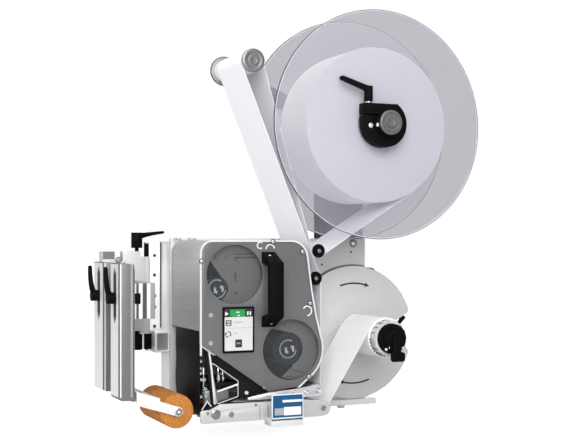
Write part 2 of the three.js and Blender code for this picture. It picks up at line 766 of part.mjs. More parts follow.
// The rewinder: notched flange, ribbed drum on its shaft, wound liner, knob and lock lever.
function makeRewinder() {
  const group = new THREE.Group();
  group.position.set(rewind.x, 0, rewind.z);
  machine.add(group);
  const span = [rewind.discBack - rewind.discThick, rewind.discBack];
  const past = [span[0] - overrun, span[1] + overrun];
  const { apexX, apexZ, upper: high, lower: low, soft, run } = rewindNotch;
  const onRim = (angle) => arc([0, 0], rewind.discRadius, angle, angle, 1)[0];
  const outline = rounded([
    [apexX, apexZ, soft],
    [...onRim(high), soft],
    ...arc([0, 0], rewind.discRadius, high + run, 360 + low - run, fineSides),
    [...onRim(low), soft],
  ]);
  const bore = rodY(0, 0, rewindDrum.shaftRadius + seat, past, smallSides);
  const flange = slab(outline, span).subtract(bore);
  part(group, "rewind_flange", flange, "anodised");

  const drumBack = span[0] - seat;
  const rib = Array.from({ length: rewindDrum.ribs * 2 }, (_, i) => {
    const r = rewindDrum.radius - (i % 2) * rewindDrum.ribDepth;
    const wide = 360 / rewindDrum.ribs;
    return arc([0, 0], r, (i / 2) * wide, (i / 2 + rewindDrum.ribShare) * wide, 1);
  }).flat();
  const hollow = rodY(0, 0, rewindDrum.radius - rewindDrum.wall, [
    rewindDrum.front - overrun,
    drumBack - rewindDrum.backWall,
  ]);
  const shaftBack = plate.thick + motor.length / 2;
  const shaft = rodY(0, 0, rewindDrum.shaftRadius, [rewindDrum.front, shaftBack], smallSides);
  const drum = slab(rib, [rewindDrum.front, drumBack]).subtract(hollow).add(shaft);
  part(group, "rewind_mandrel", drum, "clear");
  const roll = rodY(0, 0, rewind.rollRadius, [reel.webFront, webBack]).subtract(
    rodY(0, 0, rewindDrum.radius + seat, [reel.webFront - overrun, webBack + overrun]),
  );
  part(group, "liner_roll", roll, "paper");

  const knobBack = rewindDrum.front - seat;
  const knobFront = knobBack - rewindKnob.depth;
  const knurl = Array.from({ length: rewindKnob.ribs * 2 }, (_, i) => {
    const r = rewindKnob.radius - (i % 2) * rewindKnob.ribDepth;
    return arc([0, 0], r, (i * 180) / rewindKnob.ribs, (i * 180) / rewindKnob.ribs, 1)[0];
  });
  const pinFront = knobFront - seat - rewindLever.thick - seat;
  const knob = slab(knurl, [knobFront, knobBack]).add(
    rodY(0, 0, rewindKnob.pinRadius, [pinFront, knobBack], smallSides),
  );
  part(group, "rewind_knob", knob, "black");

  const depth = [knobFront - seat - rewindLever.thick, knobFront - seat];
  const through = [depth[0] - overrun, depth[1] + overrun];
  const { left, right, top, neck, tabLeft, tabRight, shoulder, bottom } = rewindLever;
  const tab = rounded([
    [left, top, rewindLever.soft],
    [right, top, rewindLever.soft],
    [right, neck],
    [tabRight, shoulder],
    [tabRight, bottom, rewindLever.soft],
    [tabLeft, bottom, rewindLever.soft],
    [tabLeft, shoulder],
    [left, neck],
  ]);
  const lever = slab(tab, depth).subtract(
    rodY(0, 0, rewindKnob.pinRadius + seat, through, smallSides),
  );
  part(group, "rewind_lever", lever, "black");
}

// A motor behind the main plate for the rewinder, and a gear motor for the platen roller.
function makeMotors() {
  const faceBack = cabinetFront + motor.faceThick;
  const { x, z } = rewind;
  const inner = motor.half - motor.bodyInset;
  const shaftEnd = plate.thick + motor.length / 2 + overrun;
  const around = (at, half) => [at - half, at + half];
  const square = box(around(x, motor.half), [cabinetFront, faceBack], around(z, motor.half))
    .add(box(around(x, inner), [faceBack - seat, cabinetFront + motor.length], around(z, inner)))
    .subtract(rodY(x, z, rewindDrum.shaftRadius + running, [cabinetFront - overrun, shaftEnd], smallSides));
  part(machine, "rewind_motor", square, "black");

  const bottom = plate.bottom + cabinet.wall + seat;
  const boxBack = cabinetFront + gearbox.thick;
  const journalEnd = plate.thick + journal.reach + motor.faceThick + overrun / 2;
  const top = bottom + gearbox.height;
  const can = [boxBack - seat, boxBack + gearbox.motorLength];
  const shaftRoom = [cabinetFront - overrun, journalEnd];
  const gear = box(around(platen.x, gearbox.half), [cabinetFront, boxBack], [bottom, top])
    .add(rodY(platen.x, top - gearbox.half, gearbox.motorRadius, can))
    .subtract(rodY(platen.x, platen.z, journal.radius + running, shaftRoom, smallSides));
  part(machine, "platen_motor", gear, "black");
}

// The outline of the cassette cover: rounded above, bulging round the lower window, cut back below.
const coverOutline = rounded([
  [cover.left, cover.top, cover.cornerLeft],
  [cover.right, cover.top, cover.cornerRight],
  [cover.shoulderX, cover.shoulderZ],
  [cover.hipX, cover.hipZ, cover.cornerLeft],
  ...arc([windowLower.x, windowLower.z], cover.bulge, cover.bulgeFrom, cover.bulgeTo, cover.bulgeSides),
  [cover.toeX, cover.toeZ],
  [cover.footX, cover.footZ, cover.soft],
  [cover.left, cover.lowLeftZ, cover.soft],
]);

// The fixed side of the print module: the wrapped housing and the guard below its left wall.
function makeHousing() {
  const span = [cover.front, -seat];
  const past = [cover.front - overrun, overrun];
  const outer = slab(grown(coverOutline, housing.gap + housing.wall), span);
  const inner = slab(grown(coverOutline, housing.gap), past);
  const farLeft = cover.left - housing.gap - housing.wall - overrun;
  const rimBottom = housing.lowerEdge - housing.rimDrop;
  const below = box([farLeft, cover.toeX], past, [-overrun, rimBottom]);
  const behind = box(
    [farLeft, cover.toeX],
    [cover.front + housing.rimWidth, overrun],
    [rimBottom - overrun, housing.lowerEdge],
  );
  const shell = outer.subtract(inner).subtract(below).subtract(behind);
  part(machine, "module_housing", shell, "brushed");

  const left = cover.left - housing.gap - housing.wall;
  const top = housing.lowerEdge - seat;
  const steps = guard.waves * 8;
  const wavy = Array.from({ length: steps + 1 }, (_, i) => {
    const share = i / steps;
    const wave = Math.sin(share * guard.waves * 2 * Math.PI) * guard.waveDepth;
    return [guard.back - guard.waveDepth + wave * share, top + (guard.rearBottom - top) * share];
  });
  const outline = [[guard.front, top], [guard.front, guard.bottom], ...wavy.reverse()];
  part(machine, "side_guard", slabX(outline, [left, left + guard.thick]), "black");
}

// The ribbon cassette, which pulls out by its handle: cover, windows, display, frame and spools.
function makeCassette() {
  const group = new THREE.Group();
  machine.add(group);
  const span = [cover.front, coverBack];
  const past = [cover.front - overrun, coverBack + overrun];
  let plateBody = slab(coverOutline, span);
  for (const { x, z, radius } of [windowUpper, windowLower])
    plateBody = plateBody.subtract(rodY(x, z, radius + seat, past, fineSides));
  plateBody = plateBody.subtract(
    box([display.left - seat, display.right + seat], past, [display.bottom - seat, display.top + seat]),
  );
  part(group, "cassette_cover", plateBody, "smoked");
  const pane = [cover.front + windowPane.sink, cover.front + windowPane.sink + windowPane.thick];
  const panes = [["upper_window", windowUpper], ["lower_window", windowLower]];
  for (const [name, { x, z, radius }] of panes)
    part(group, name, rodY(x, z, radius, pane, fineSides), "windowTint");

  const y0 = cover.front - display.proud;
  const y1 = y0 + display.depth;
  const screen = box(
    [display.left + display.bezel, display.right - display.bezel],
    [y0 - overrun, y0 + display.screenSink],
    [display.bottom + display.footer, display.top - display.header],
  );
  const unit = box([display.left, display.right], [y0, y1], [display.bottom, display.top]);
  part(group, "display_unit", unit.subtract(screen), "black");

  const front = cover.front - handle.reach;
  const rear = cover.front - seat;
  const lean = handle.foot + handle.grip / 2;
  const bridge = slabX(
    [
      [rear, handle.bottom],
      [front, handle.bottom + handle.foot],
      [front, handle.top - handle.foot],
      [rear, handle.top],
      [rear, handle.top - handle.foot],
      [front + handle.grip, handle.top - lean],
      [front + handle.grip, handle.bottom + lean],
      [rear, handle.bottom + handle.foot],
    ],
    [handle.left, handle.right],
  );
  part(group, "cover_handle", bridge, "black");

  const backEnd = cassette.backFront + cassette.backThick;
  const inset = cassette.inset;
  const lowerCentre = [windowLower.x, windowLower.z];
  const backOutline = [
    [cover.left + inset, cover.top - inset],
    [cover.right - inset * 2, cover.top - inset],
    [cover.shoulderX - inset, cover.shoulderZ],
    ...arc(lowerCentre, cover.bulge - inset, cover.bulgeFrom, cover.bulgeTo, cover.bulgeSides),
    [cover.footX, cover.footZ + inset * 2],
    [cover.left + inset, cover.lowLeftZ + inset],
  ];
  let frame = slab(backOutline, [cassette.backFront, backEnd]);
  const posts = [
    [cover.left + cassette.postInset, housing.lowerEdge + cassette.postInset + cassette.postRadius],
    [cover.right - cassette.postInset, cover.top - cassette.postInset * 2],
    [cover.hipX - cassette.postInset, (cover.hipZ + cover.shoulderZ) / 2],
  ];
  for (const [x, z] of posts)
    frame = frame.add(rodY(x, z, cassette.postRadius, [coverBack + seat, backEnd], smallSides));
  const spindle = [spool.front + spool.capLength, backEnd];
  for (const { x, z } of [ribbonSupply, ribbonTakeup])
    frame = frame.add(rodY(x, z, cassette.spindleRadius, spindle, smallSides));
  part(group, "cassette_frame", frame, "anodised");

  const back = cassette.backFront - seat;
  const spools = [["ribbon_supply_spool", ribbonSupply], ["ribbon_takeup_spool", ribbonTakeup]];
  for (const [name, { x, z, radius }] of spools) {
    const at = new THREE.Group();
    at.position.set(x, 0, z);
    group.add(at);
    const body = rodY(0, 0, radius, [reel.webFront, webBack - overrun])
      .add(rodY(0, 0, spool.hubRadius, [reel.webFront - spool.hubProud, back]))
      .subtract(rodY(0, 0, spool.bore, [spool.front + spool.capLength - seat, back + overrun], smallSides));
    part(at, name, body, "ribbon");
  }
}

// The print head under the cover, the bracket in front of it, and the two arms that carry the web.
function makeHeadAndArms() {
  const armSpan = [cover.front, cover.front + webArm.thick];
  const bracketSpan = [armSpan[1] + seat, armSpan[1] + seat + bracket.thick];
  const bodyFront = bracketSpan[1] + seat;
  const past = [cover.front - overrun, bracketSpan[1] + overrun];
  const lap = bracket.lap;
  const outline = [
    [cover.left + lap / 2, cover.lowLeftZ + lap / 2],
    [cover.footX + seat, cover.footZ + lap],
    [cover.footX + seat, cover.footZ - webArm.thick / 2],
    [bracket.kneeX, bracket.kneeZ],
    [bracket.toeX, bracket.toeZ],
    [bracket.heelX, bracket.toeZ],
  ];
  const hole = rounded([
    [bracket.holeLeft, bracket.holeTop, bracket.holeRadius],
    [bracket.holeRight, bracket.holeShoulder, bracket.holeRadius],
    [bracket.holeRight, bracket.holeBottom, bracket.holeRadius],
    [bracket.holeToeX, bracket.holeToeZ, bracket.holeRadius],
  ]);
  const body = slab(outline, bracketSpan).subtract(slab(hole, past));
  part(machine, "printhead_bracket", body, "black");
  const block = box([head.left, head.right], [bodyFront, -seat], [head.bottom, head.top]);
  part(machine, "printhead", block, "anodised");

  const journalHole = ({ x, z }) => rodY(x, z, journal.radius + running, past, smallSides);
  const lower = rounded([
    [webArm.left, webArm.rise, webArm.corner],
    [webArm.left, webArm.bottom, webArm.corner],
    [endLower.x, webArm.bottom, webArm.corner],
    [endLower.x, endLower.z + webArm.endRadius],
    [webArm.shoulderRight, webArm.shoulder],
    [webArm.shoulderLeft, webArm.shoulder],
    [webArm.heel, webArm.rise],
  ]);
  const lowerBody = slab(lower, armSpan)
    .add(rodY(endLower.x, endLower.z, webArm.endRadius, armSpan))
    .add(
      box(
        [webArm.beamLeft, webArm.beamRight],
        [armSpan[0] + webArm.thick / 2, -seat],
        [webArm.beamBottom, webArm.beamTop],
      ),
    )
    .subtract(journalHole(endLower))
    .subtract(journalHole(platen));
  part(machine, "lower_web_arm", lowerBody, "brushed");
  const upper = [
    [webArm.upperLeft, webArm.upperBottom],
    [endUpper.x, endUpper.z - webArm.upperRadius],
    [endUpper.x, endUpper.z + webArm.upperRadius],
    [cover.toeX, cover.toeZ - webArm.thick],
    [cover.footX, cover.footZ - webArm.thick / 2],
    [webArm.upperLeft, webArm.upperBottom + webArm.thick],
  ];
  const upperBody = slab(upper, armSpan)
    .add(rodY(endUpper.x, endUpper.z, webArm.upperRadius, armSpan))
    .subtract(journalHole(endUpper));
  part(machine, "upper_web_arm", upperBody, "brushed");

  const width = [sensor.left, sensor.right];
  const signSpan = [sensor.front, sensor.front + sensor.signThick];
  part(machine, "sign_plate", box(width, signSpan, [sensor.signBottom, sensor.top]), "blue");
  const blockFront = signSpan[1] + seat;
  const stem = box(
    [sensor.left + sensor.stemInset, sensor.right - sensor.stemInset],
    [blockFront, blockFront + sensor.stemThick],
    [sensor.bottom, sensor.top - sensor.stemInset],
  );
  const shelf = box(width, [blockFront, cover.front - seat], [sensor.bottom, sensor.blockTop]);
  part(machine, "sensor_block", shelf.add(stem), "anodised");
}

// The carrier that swings on the hinge pin, and the beam with two upright grooves in its end.
function makeCarrier(group) {
  const depth = [carrier.front, carrier.back];
  const low = hinge.bottom + knuckle.bottomHeight + seat;
  const high = hinge.top - knuckle.topHeight - seat;
  const clearOfKnuckle = hinge.x - carrier.knuckleRoom;
  const knuckleRoom = box(
    [clearOfKnuckle, carrier.right + overrun],
    [carrier.front - overrun, carrier.back + overrun],
    [high, carrier.top + overrun],
  );
  const barrelSpan = [hinge.y - hinge.barrelRadius, hinge.y + hinge.barrelRadius];
  const flange = box(
    [carrierFlange.left, carrierFlange.right],
    [carrier.front, carrierFlange.back],
    [carrier.bottom, carrier.top],
  );
  const notch = box(
    [carrierFlange.right, carrierFlange.notchRight],
    [carrier.front - overrun, carrierFlange.back + overrun],
    [carrierFlange.notchBottom, carrier.top + overrun],
  );
  let body = box([carrierFlange.right - overrun, carrier.right], depth, [carrier.bottom, carrier.top])
    .add(flange)
    .subtract(knuckleRoom)
    .subtract(notch)
    .add(box([clearOfKnuckle, hinge.x], barrelSpan, [low, high]))
    .add(rodZ(hinge.x, hinge.y, hinge.barrelRadius, [low, high]));
  const pinHole = hinge.pinRadius + running;
  body = body.subtract(rodZ(hinge.x, hinge.y, pinHole, [low - overrun, high + overrun]));
  for (const span of [
    [carrier.top - carrier.threadDepth, carrier.top + overrun],
    [carrier.bottom - overrun, carrier.bottom + carrier.threadDepth],
  ])
    body = body.subtract(rodZ(hingeLever.x, hingeLever.y, hingeLever.stem + seat, span));
  part(group, "hinge_carrier", body, "anodised");

  const left = post.right + seat;
  const right = left + beam.width;
  let profile = box([left, right], [beam.front, carrier.front - seat], [beam.bottom, beam.top]);
  const grooveRun = [beam.front - overrun, beam.front + beam.grooveDepth];
  const upright = [beam.bottom - overrun, beam.top + overrun];
  for (const [from, to] of beamGrooves)
    profile = profile.subtract(box([left + from, left + to], grooveRun, upright));
  for (const { front, back } of [frontPost, rearPost]) {
    const hole = rodX((front + back) / 2, postLever.z, postLever.screwRadius + seat, [
      left - overrun,
      left + postLever.grip + seat,
    ]);
    profile = profile.subtract(hole);
  }
  part(group, "carrier_profile", profile, "anodised");
}

// The two slotted posts that stand on the beam's end and hold the roller's bracket.
function makePosts(group) {
  const posts = [["front_post", frontPost], ["rear_post", rearPost]];
  for (const [name, { front, back, bottom, lugFront }] of posts) {
    const outline = rounded([
      [post.left, bottom, post.corner / 2],
      [post.right, bottom],
      [post.right, post.top, post.corner],
      [post.left, post.top],
    ]);
    const y = (front + back) / 2;
    const half = slot.width / 2;
    const reach = [post.left - overrun, post.right + overrun];
    const lugAcross = [post.right - post.wall, fork.pivotX + lug.width / 2];
    const lugSpan = [lugFront, lugFront + lug.thick];
    const lugPast = [lugSpan[0] - overrun, lugSpan[1] + overrun];
    const hollow = box(
      [post.left + post.wall, post.right - post.wall],
      [front + post.wall, back - post.wall],
      [bottom - overrun, post.top - post.corner],
    );
    const body = slab(outline, [front, back])
      .add(box(lugAcross, lugSpan, [fork.pivotZ - lug.below, fork.pivotZ + lug.above]))
      .subtract(hollow)
      .subtract(box(reach, [y - half, y + half], [slot.bottom + half, slot.top - half]))
      .subtract(rodX(y, slot.bottom + half, half, reach))
      .subtract(rodX(y, slot.top - half, half, reach))
      .subtract(rodY(fork.pivotX, fork.pivotZ, fork.pinRadius + running, lugPast, smallSides));
    part(group, name, body, "anodised");
  }
}

// The four clamps: one lever on each post, a lever above the hinge and a knob below it.
function makeClamps(group) {
  const clamps = [["front_post_lever", frontPost], ["rear_post_lever", rearPost]];
  for (const [name, { front, back }] of clamps) {
    const at = new THREE.Group();
    at.position.set(post.left, (front + back) / 2, postLever.z);
    group.add(at);
    const hubRight = -postLever.stand;
    const hubLeft = hubRight - postLever.hubLength;
    const grip = post.right - post.left + seat + postLever.grip;
    const rootX = (hubLeft + hubRight) / 2;
    const tip = [hubLeft - postLever.lean + postLever.tip - rootX, postLever.rise];
    const thick = [-postLever.tip, postLever.tip];
    const rootHalf = (postLever.hubLength / 2) * postLever.rootShare;
    const handle = blade(tip, [tip[0], tip[1] * postLever.bendShare], rootHalf, postLever.tip);
    const lever = rodX(0, 0, postLever.hubRadius, [hubLeft, hubRight])
      .add(rodX(0, 0, postLever.screwRadius, [hubRight - overrun, grip]))
      .add(slab(handle.map(([x, z]) => [x + rootX, z]), thick))
      .add(rodY(tip[0] + rootX, tip[1], postLever.tip, thick, smallSides));
    part(at, name, lever, "black");
  }

  const top = new THREE.Group();
  top.position.set(hingeLever.x, hingeLever.y, 0);
  group.add(top);
  const { reach, armRise, armHalf, tip, hubBottom, hubTop } = hingeLever;
  const armRoot = hubTop - armHalf;
  const stem = [carrier.top - carrier.threadDepth + seat, hubBottom + overrun];
  const handle = blade([reach, armRise], [reach * hingeLever.bendShare, armRise / 2], armHalf, tip);
  const topLever = rodZ(0, 0, hingeLever.hubRadius, [hubBottom, hubTop])
    .add(rodZ(0, 0, hingeLever.stem, stem))
    .add(slab(handle.map(([x, z]) => [x, z + armRoot]), [-tip, tip]))
    .add(rodY(reach, armRise + armRoot, tip, [-tip, tip], smallSides));
  part(top, "top_clamp_lever", topLever, "black");
  const knobTop = carrier.bottom - hingeKnob.stand;
  const knob = rodZ(0, 0, hingeKnob.radius, [hingeKnob.bottom, knobTop]).add(
    rodZ(0, 0, hingeLever.stem, [knobTop - overrun, carrier.bottom + carrier.threadDepth - seat]),
  );
  part(top, "bottom_clamp_knob", knob, "black");
}

// The forked bracket, its axle, and the foam roller that turns on the axle.
function makeFork(group) {
  const arms = [
    [frontPost.lugFront - seat - fork.armThick, frontPost.lugFront - seat],
    [rearPost.lugFront + lug.thick + seat, rearPost.lugFront + lug.thick + seat + fork.armThick],
  ];
  const outline = [
    [fork.left, fork.top],
    [fork.stepX, fork.stepTop],
    [fork.stepX, fork.stepTop - fork.step],
    [roller.x, roller.z + fork.endRadius],
    [roller.x, roller.z - fork.endRadius],
    [fork.left, fork.bottom],
  ];
  let body = null;
  for (const span of arms) {
    const past = [span[0] - overrun, span[1] + overrun];
    const side = slab(outline, span)
      .add(rodY(roller.x, roller.z, fork.endRadius, span))
      .subtract(rodY(roller.x, roller.z, roller.axleRadius + seat, past, smallSides));
    body = body ? body.add(side) : side;
  }
  const slope = (fork.top - fork.stepTop) / (fork.left - fork.stepX);
  const webTop = (x) => fork.top + (x - fork.left) * slope;
  const web0 = fork.pivotX + lug.width;
  const topWeb = slab(
    [
      [web0, webTop(web0)],
      [fork.stepX, fork.stepTop],
      [fork.stepX, fork.stepTop - fork.webThick],
      [web0, webTop(web0) - fork.webThick],
    ],
    [arms[0][0], arms[1][1]],
  );
  const pins = [
    [arms[0][1] - fork.armThick / 2, frontPost.lugFront + lug.thick],
    [rearPost.lugFront, arms[1][0] + fork.armThick / 2],
  ];
  body = body.add(topWeb);
  for (const span of pins)
    body = body.add(rodY(fork.pivotX, fork.pivotZ, fork.pinRadius, span, smallSides));
  part(group, "roller_bracket", body, "paintedWhite");

  const at = new THREE.Group();
  at.position.set(roller.x, 0, roller.z);
  group.add(at);
  const headBack = arms[0][0] - seat;
  const axle = rodY(0, 0, roller.axleRadius, [headBack - roller.headThick / 2, arms[1][1] + seat], smallSides)
    .add(rodY(0, 0, roller.headRadius, [headBack - roller.headThick, headBack], smallSides));
  part(at, "roller_axle", axle, "chrome");
  const past = [roller.front - overrun, roller.back + overrun];
  const foam = rodY(0, 0, roller.radius, [roller.front, roller.back], fineSides)
    .subtract(rodY(0, 0, roller.axleRadius + running, past, smallSides));
  part(at, "foam_roller", foam, "foam");
}

makeFrame();
makeHinge();
makeMast();
makeReel();
makeGuideRollers();
makeWeb();
makeRewinder();
makeMotors();
makeHousing();
makeCassette();
makeHeadAndArms();
const applicator = new THREE.Group();
machine.add(applicator);
for (const make of [makeCarrier, makePosts, makeClamps, makeFork]) make(applicator);

export default machine;
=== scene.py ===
"""The looks of a case labeling machine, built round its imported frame.

Each class below is one sub-assembly. It holds its sizes in millimetres, builds its
pieces and dresses them, and the frame says which body every piece rides on.
X runs right from the supply reel's axis, Y back from the main plate, Z up from the base.
"""

from __future__ import annotations

import json
import logging
import math
from abc import ABC, abstractmethod
from dataclasses import dataclass, field
from enum import Enum
from functools import cache
from typing import Any, Iterable, Sequence

import bmesh
import bpy
from mathutils import Matrix, Vector
from mathutils.geometry import tessellate_polygon

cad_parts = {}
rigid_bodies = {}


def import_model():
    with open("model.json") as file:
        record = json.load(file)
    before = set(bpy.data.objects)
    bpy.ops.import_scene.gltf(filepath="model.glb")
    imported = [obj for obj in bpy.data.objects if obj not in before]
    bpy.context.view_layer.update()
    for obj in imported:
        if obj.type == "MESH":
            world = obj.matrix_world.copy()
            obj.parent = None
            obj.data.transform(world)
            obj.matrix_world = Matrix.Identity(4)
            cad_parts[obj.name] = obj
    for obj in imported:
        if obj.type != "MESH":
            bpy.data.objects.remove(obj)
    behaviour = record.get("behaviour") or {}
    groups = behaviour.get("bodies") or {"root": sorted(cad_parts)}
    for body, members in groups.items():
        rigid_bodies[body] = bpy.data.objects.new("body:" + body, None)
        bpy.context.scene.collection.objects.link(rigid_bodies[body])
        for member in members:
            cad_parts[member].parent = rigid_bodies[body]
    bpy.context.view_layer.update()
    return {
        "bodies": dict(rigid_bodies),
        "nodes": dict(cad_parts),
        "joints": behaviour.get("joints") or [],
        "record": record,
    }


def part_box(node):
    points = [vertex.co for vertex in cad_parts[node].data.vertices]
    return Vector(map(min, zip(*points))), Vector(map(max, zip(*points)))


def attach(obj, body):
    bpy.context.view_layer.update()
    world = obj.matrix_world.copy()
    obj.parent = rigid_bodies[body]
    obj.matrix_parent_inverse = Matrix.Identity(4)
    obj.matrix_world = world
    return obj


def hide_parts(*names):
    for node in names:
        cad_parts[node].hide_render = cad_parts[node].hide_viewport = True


LOG = logging.getLogger("labeler")
MM = 0.001
SMOOTH_BELOW = math.radians(32)
FLAT_BELOW = math.radians(0.6)
WELD = 2e-6
SOCKET_SHARE = 0.42
WHITE = "#ffffff"

Point = tuple[float, float]
Span = tuple[float, float]
Outline = tuple[Point, ...]
Place = tuple[float, float, float]
Circle = tuple[float, float, float]
Box = tuple[Span, Span, Span]


class Axis(Enum):
    """The direction that a turned or pushed shape follows."""

    X = 0
    Y = 1
    Z = 2

    def at(self, along: float, first: float, second: float) -> Vector:
        """A place along this axis.

        Args:
            along: Its place on the axis.
            first: The first of the other two coordinates, in X, Y, Z order.
            second: The second of them.

        Returns:
            The place.
        """
        others = [first, second]
        others.insert(self.value, along)
        return Vector(others)


class Grain(Enum):
    """How a surface was made, which sets the pattern of its material."""

    BRUSHED = "fine parallel scratches"
    BLASTED = "an even matt grain"
    COATED = "the soft ripple of powder coat"
    MOULDED = "the fine grain of a mould"
    PAPER = "fibres"
    WOUND = "rings of wound paper"
    FOAM = "open cells"
    POLISHED = "a mirror with faint smears"
    CLEAR = "a see-through sheet"
    PRINTED = "flat ink"


def to_linear(colour: str) -> tuple[float, float, float, float]:
    """Turns an sRGB hex colour to linear.

    Args:
        colour: Six hex digits after a hash sign.

    Returns:
        Red, green, blue and an alpha of 1.
    """
    shares = [int(colour[i : i + 2], 16) / 255 for i in (1, 3, 5)]
    linear = [s / 12.92 if s <= 0.04045 else ((s + 0.055) / 1.055) ** 2.4 for s in shares]
    return (linear[0], linear[1], linear[2], 1.0)


def add_node(
    tree: bpy.types.NodeTree,
    kind: str,
    settings: dict[str, Any] | None = None,
    inputs: dict[Any, Any] | None = None,
) -> bpy.types.Node:
    """Adds a node, sets its options and values, and links the inputs given as sockets.

    Args:
        tree: The tree that gets the node.
        kind: The node's type.
        settings: Its options by name.
        inputs: Values or sockets by input name or number.

    Returns:
        The node.
    """
    node = tree.nodes.new(kind)
    for key, value in (settings or {}).items():
        setattr(node, key, value)
    for key, value in (inputs or {}).items():
        if isinstance(value, bpy.types.NodeSocket):
            tree.links.new(value, node.inputs[key])
        else:
            node.inputs[key].default_value = value
    return node


def empty_tree(owner: bpy.types.Material | bpy.types.World) -> bpy.types.NodeTree:
    """Turns on the nodes of a material or world, and clears them.

    Args:
        owner: The material or world.

    Returns:
        Its empty tree.
    """
    owner.use_nodes = True
    owner.node_tree.nodes.clear()
    return owner.node_tree


def add_object(name: str, data: bpy.types.ID) -> bpy.types.Object:
    """Adds an object to the scene, at the origin.

    Args:
        name: Its name.
        data: Its mesh, lamp or camera.

    Returns:
        The object.
    """
    made = bpy.data.objects.new(name, data)
    bpy.context.scene.collection.objects.link(made)
    return made


@dataclass(frozen=True)
class Finish:
    """A surface: what it is made of, how it was made, and what that gives the eye.

    The spacing is the real size of its pattern in millimetres, or coarser where the real
    one is too fine to show. The relief's high places are a little smoother than the low ones.
    """

    name: str
    colour: str
    second: str
    grain: Grain
    spacing: float
    roughness: float
    metallic: float = 0.0
    bump: float = 0.1
    along: Axis | None = None
    centre: Place = (0.0, 0.0, 0.0)
    alpha: float = 1.0
    coat: float = 0.0
    coat_roughness: float = 0.12
    ior: float = 1.5
    low_share: float = 1.2
    high_share: float = 0.85
    scratch_share: float = 0.012

    def material(self) -> bpy.types.Material:
        """Makes the material once, and gives the same one on later calls.

        Returns:
            The material.
        """
        known = bpy.data.materials.get(self.name)
        if known:
            return known
        made = bpy.data.materials.new(self.name)
        tree = empty_tree(made)
        height, tint = self._pattern(tree)
        colours = add_node(
            tree,
            "ShaderNodeMix",
            {"data_type": "RGBA"},
            {0: tint, 6: to_linear(self.second), 7: to_linear(self.colour)},
        )
        sheen = add_node(
            tree,
            "ShaderNodeMapRange",
            inputs={
                "Value": height,
                "To Min": min(self.roughness * self.low_share, 1.0),
                "To Max": self.roughness * self.high_share,
            },
        )
        relief = add_node(
            tree,
            "ShaderNodeBump",
            inputs={"Strength": self.bump, "Distance": self.spacing * MM, "Height": height},
        )
        shader = add_node(
            tree,
            "ShaderNodeBsdfPrincipled",
            inputs={
                "Base Color": colours.outputs[2],
                "Roughness": sheen.outputs[0],
                "Normal": relief.outputs[0],
                "Metallic": self.metallic,
                "IOR": self.ior,
                "Alpha": self.alpha,
                "Coat Weight": self.coat,
                "Coat Roughness": self.coat_roughness,
            },
        )
        add_node(tree, "ShaderNodeOutputMaterial", inputs={"Surface": shader.outputs[0]})
        return made

    def _pattern(self, tree: bpy.types.NodeTree) -> tuple[bpy.types.NodeSocket, bpy.types.NodeSocket]:
        """Adds the nodes of the grain.

        Args:
            tree: The material's tree.

        Returns:
            A socket with the relief and one with the share of the main colour.
        """
        place = add_node(tree, "ShaderNodeTexCoord").outputs["Object"]
        repeats = 1 / (self.spacing * MM)
        stretch = Vector((1.0, 1.0, 1.0)) * repeats
        if self.along is not None and self.grain is Grain.BRUSHED:
            stretch[self.along.value] *= self.scratch_share
        mapped = add_node(
            tree,
            "ShaderNodeMapping",
            {"vector_type": "TEXTURE"},
            {"Vector": place, "Location": [c * MM for c in self.centre]},
        ).outputs[0]
        scaled = add_node(
            tree, "ShaderNodeMapping", inputs={"Vector": mapped, "Scale": stretch}
        ).outputs[0]
        if self.grain is Grain.WOUND:
            rings = add_node(
                tree,
                "ShaderNodeTexWave",
                {"wave_type": "RINGS", "rings_direction": "Y"},
                {"Vector": scaled, "Scale": 0.5, "Distortion": 0.4, "Detail": 2.0},
            ).outputs["Fac"]
            return rings, rings
        if self.grain is Grain.FOAM:
            cells = add_node(tree, "ShaderNodeTexVoronoi", inputs={"Vector": scaled, "Scale": 1.0})
            grains = add_node(
                tree, "ShaderNodeTexNoise", inputs={"Vector": scaled, "Scale": 0.7, "Detail": 4.0}
            )
            spread = add_node(
                tree,
                "ShaderNodeMapRange",
                inputs={"Value": grains.outputs["Fac"], "From Min": 0.36, "From Max": 0.64},
            )
            return cells.outputs["Distance"], spread.outputs[0]
        fine = add_node(
            tree,
            "ShaderNodeTexNoise",
            inputs={"Vector": scaled, "Scale": 1.0, "Detail": 3.0, "Roughness": 0.6},
        ).outputs["Fac"]
        broad = add_node(
            tree, "ShaderNodeTexNoise", inputs={"Vector": scaled, "Scale": 0.13, "Detail": 1.0}
        ).outputs["Fac"]
        both = add_node(
            tree, "ShaderNodeMath", {"operation": "MULTIPLY_ADD"}, {0: broad, 1: 0.5, 2: fine}
        ).outputs[0]
        spread = add_node(
            tree, "ShaderNodeMapRange", inputs={"Value": both, "From Min": 0.5, "From Max": 1.0}
        )
        return fine, spread.outputs[0]


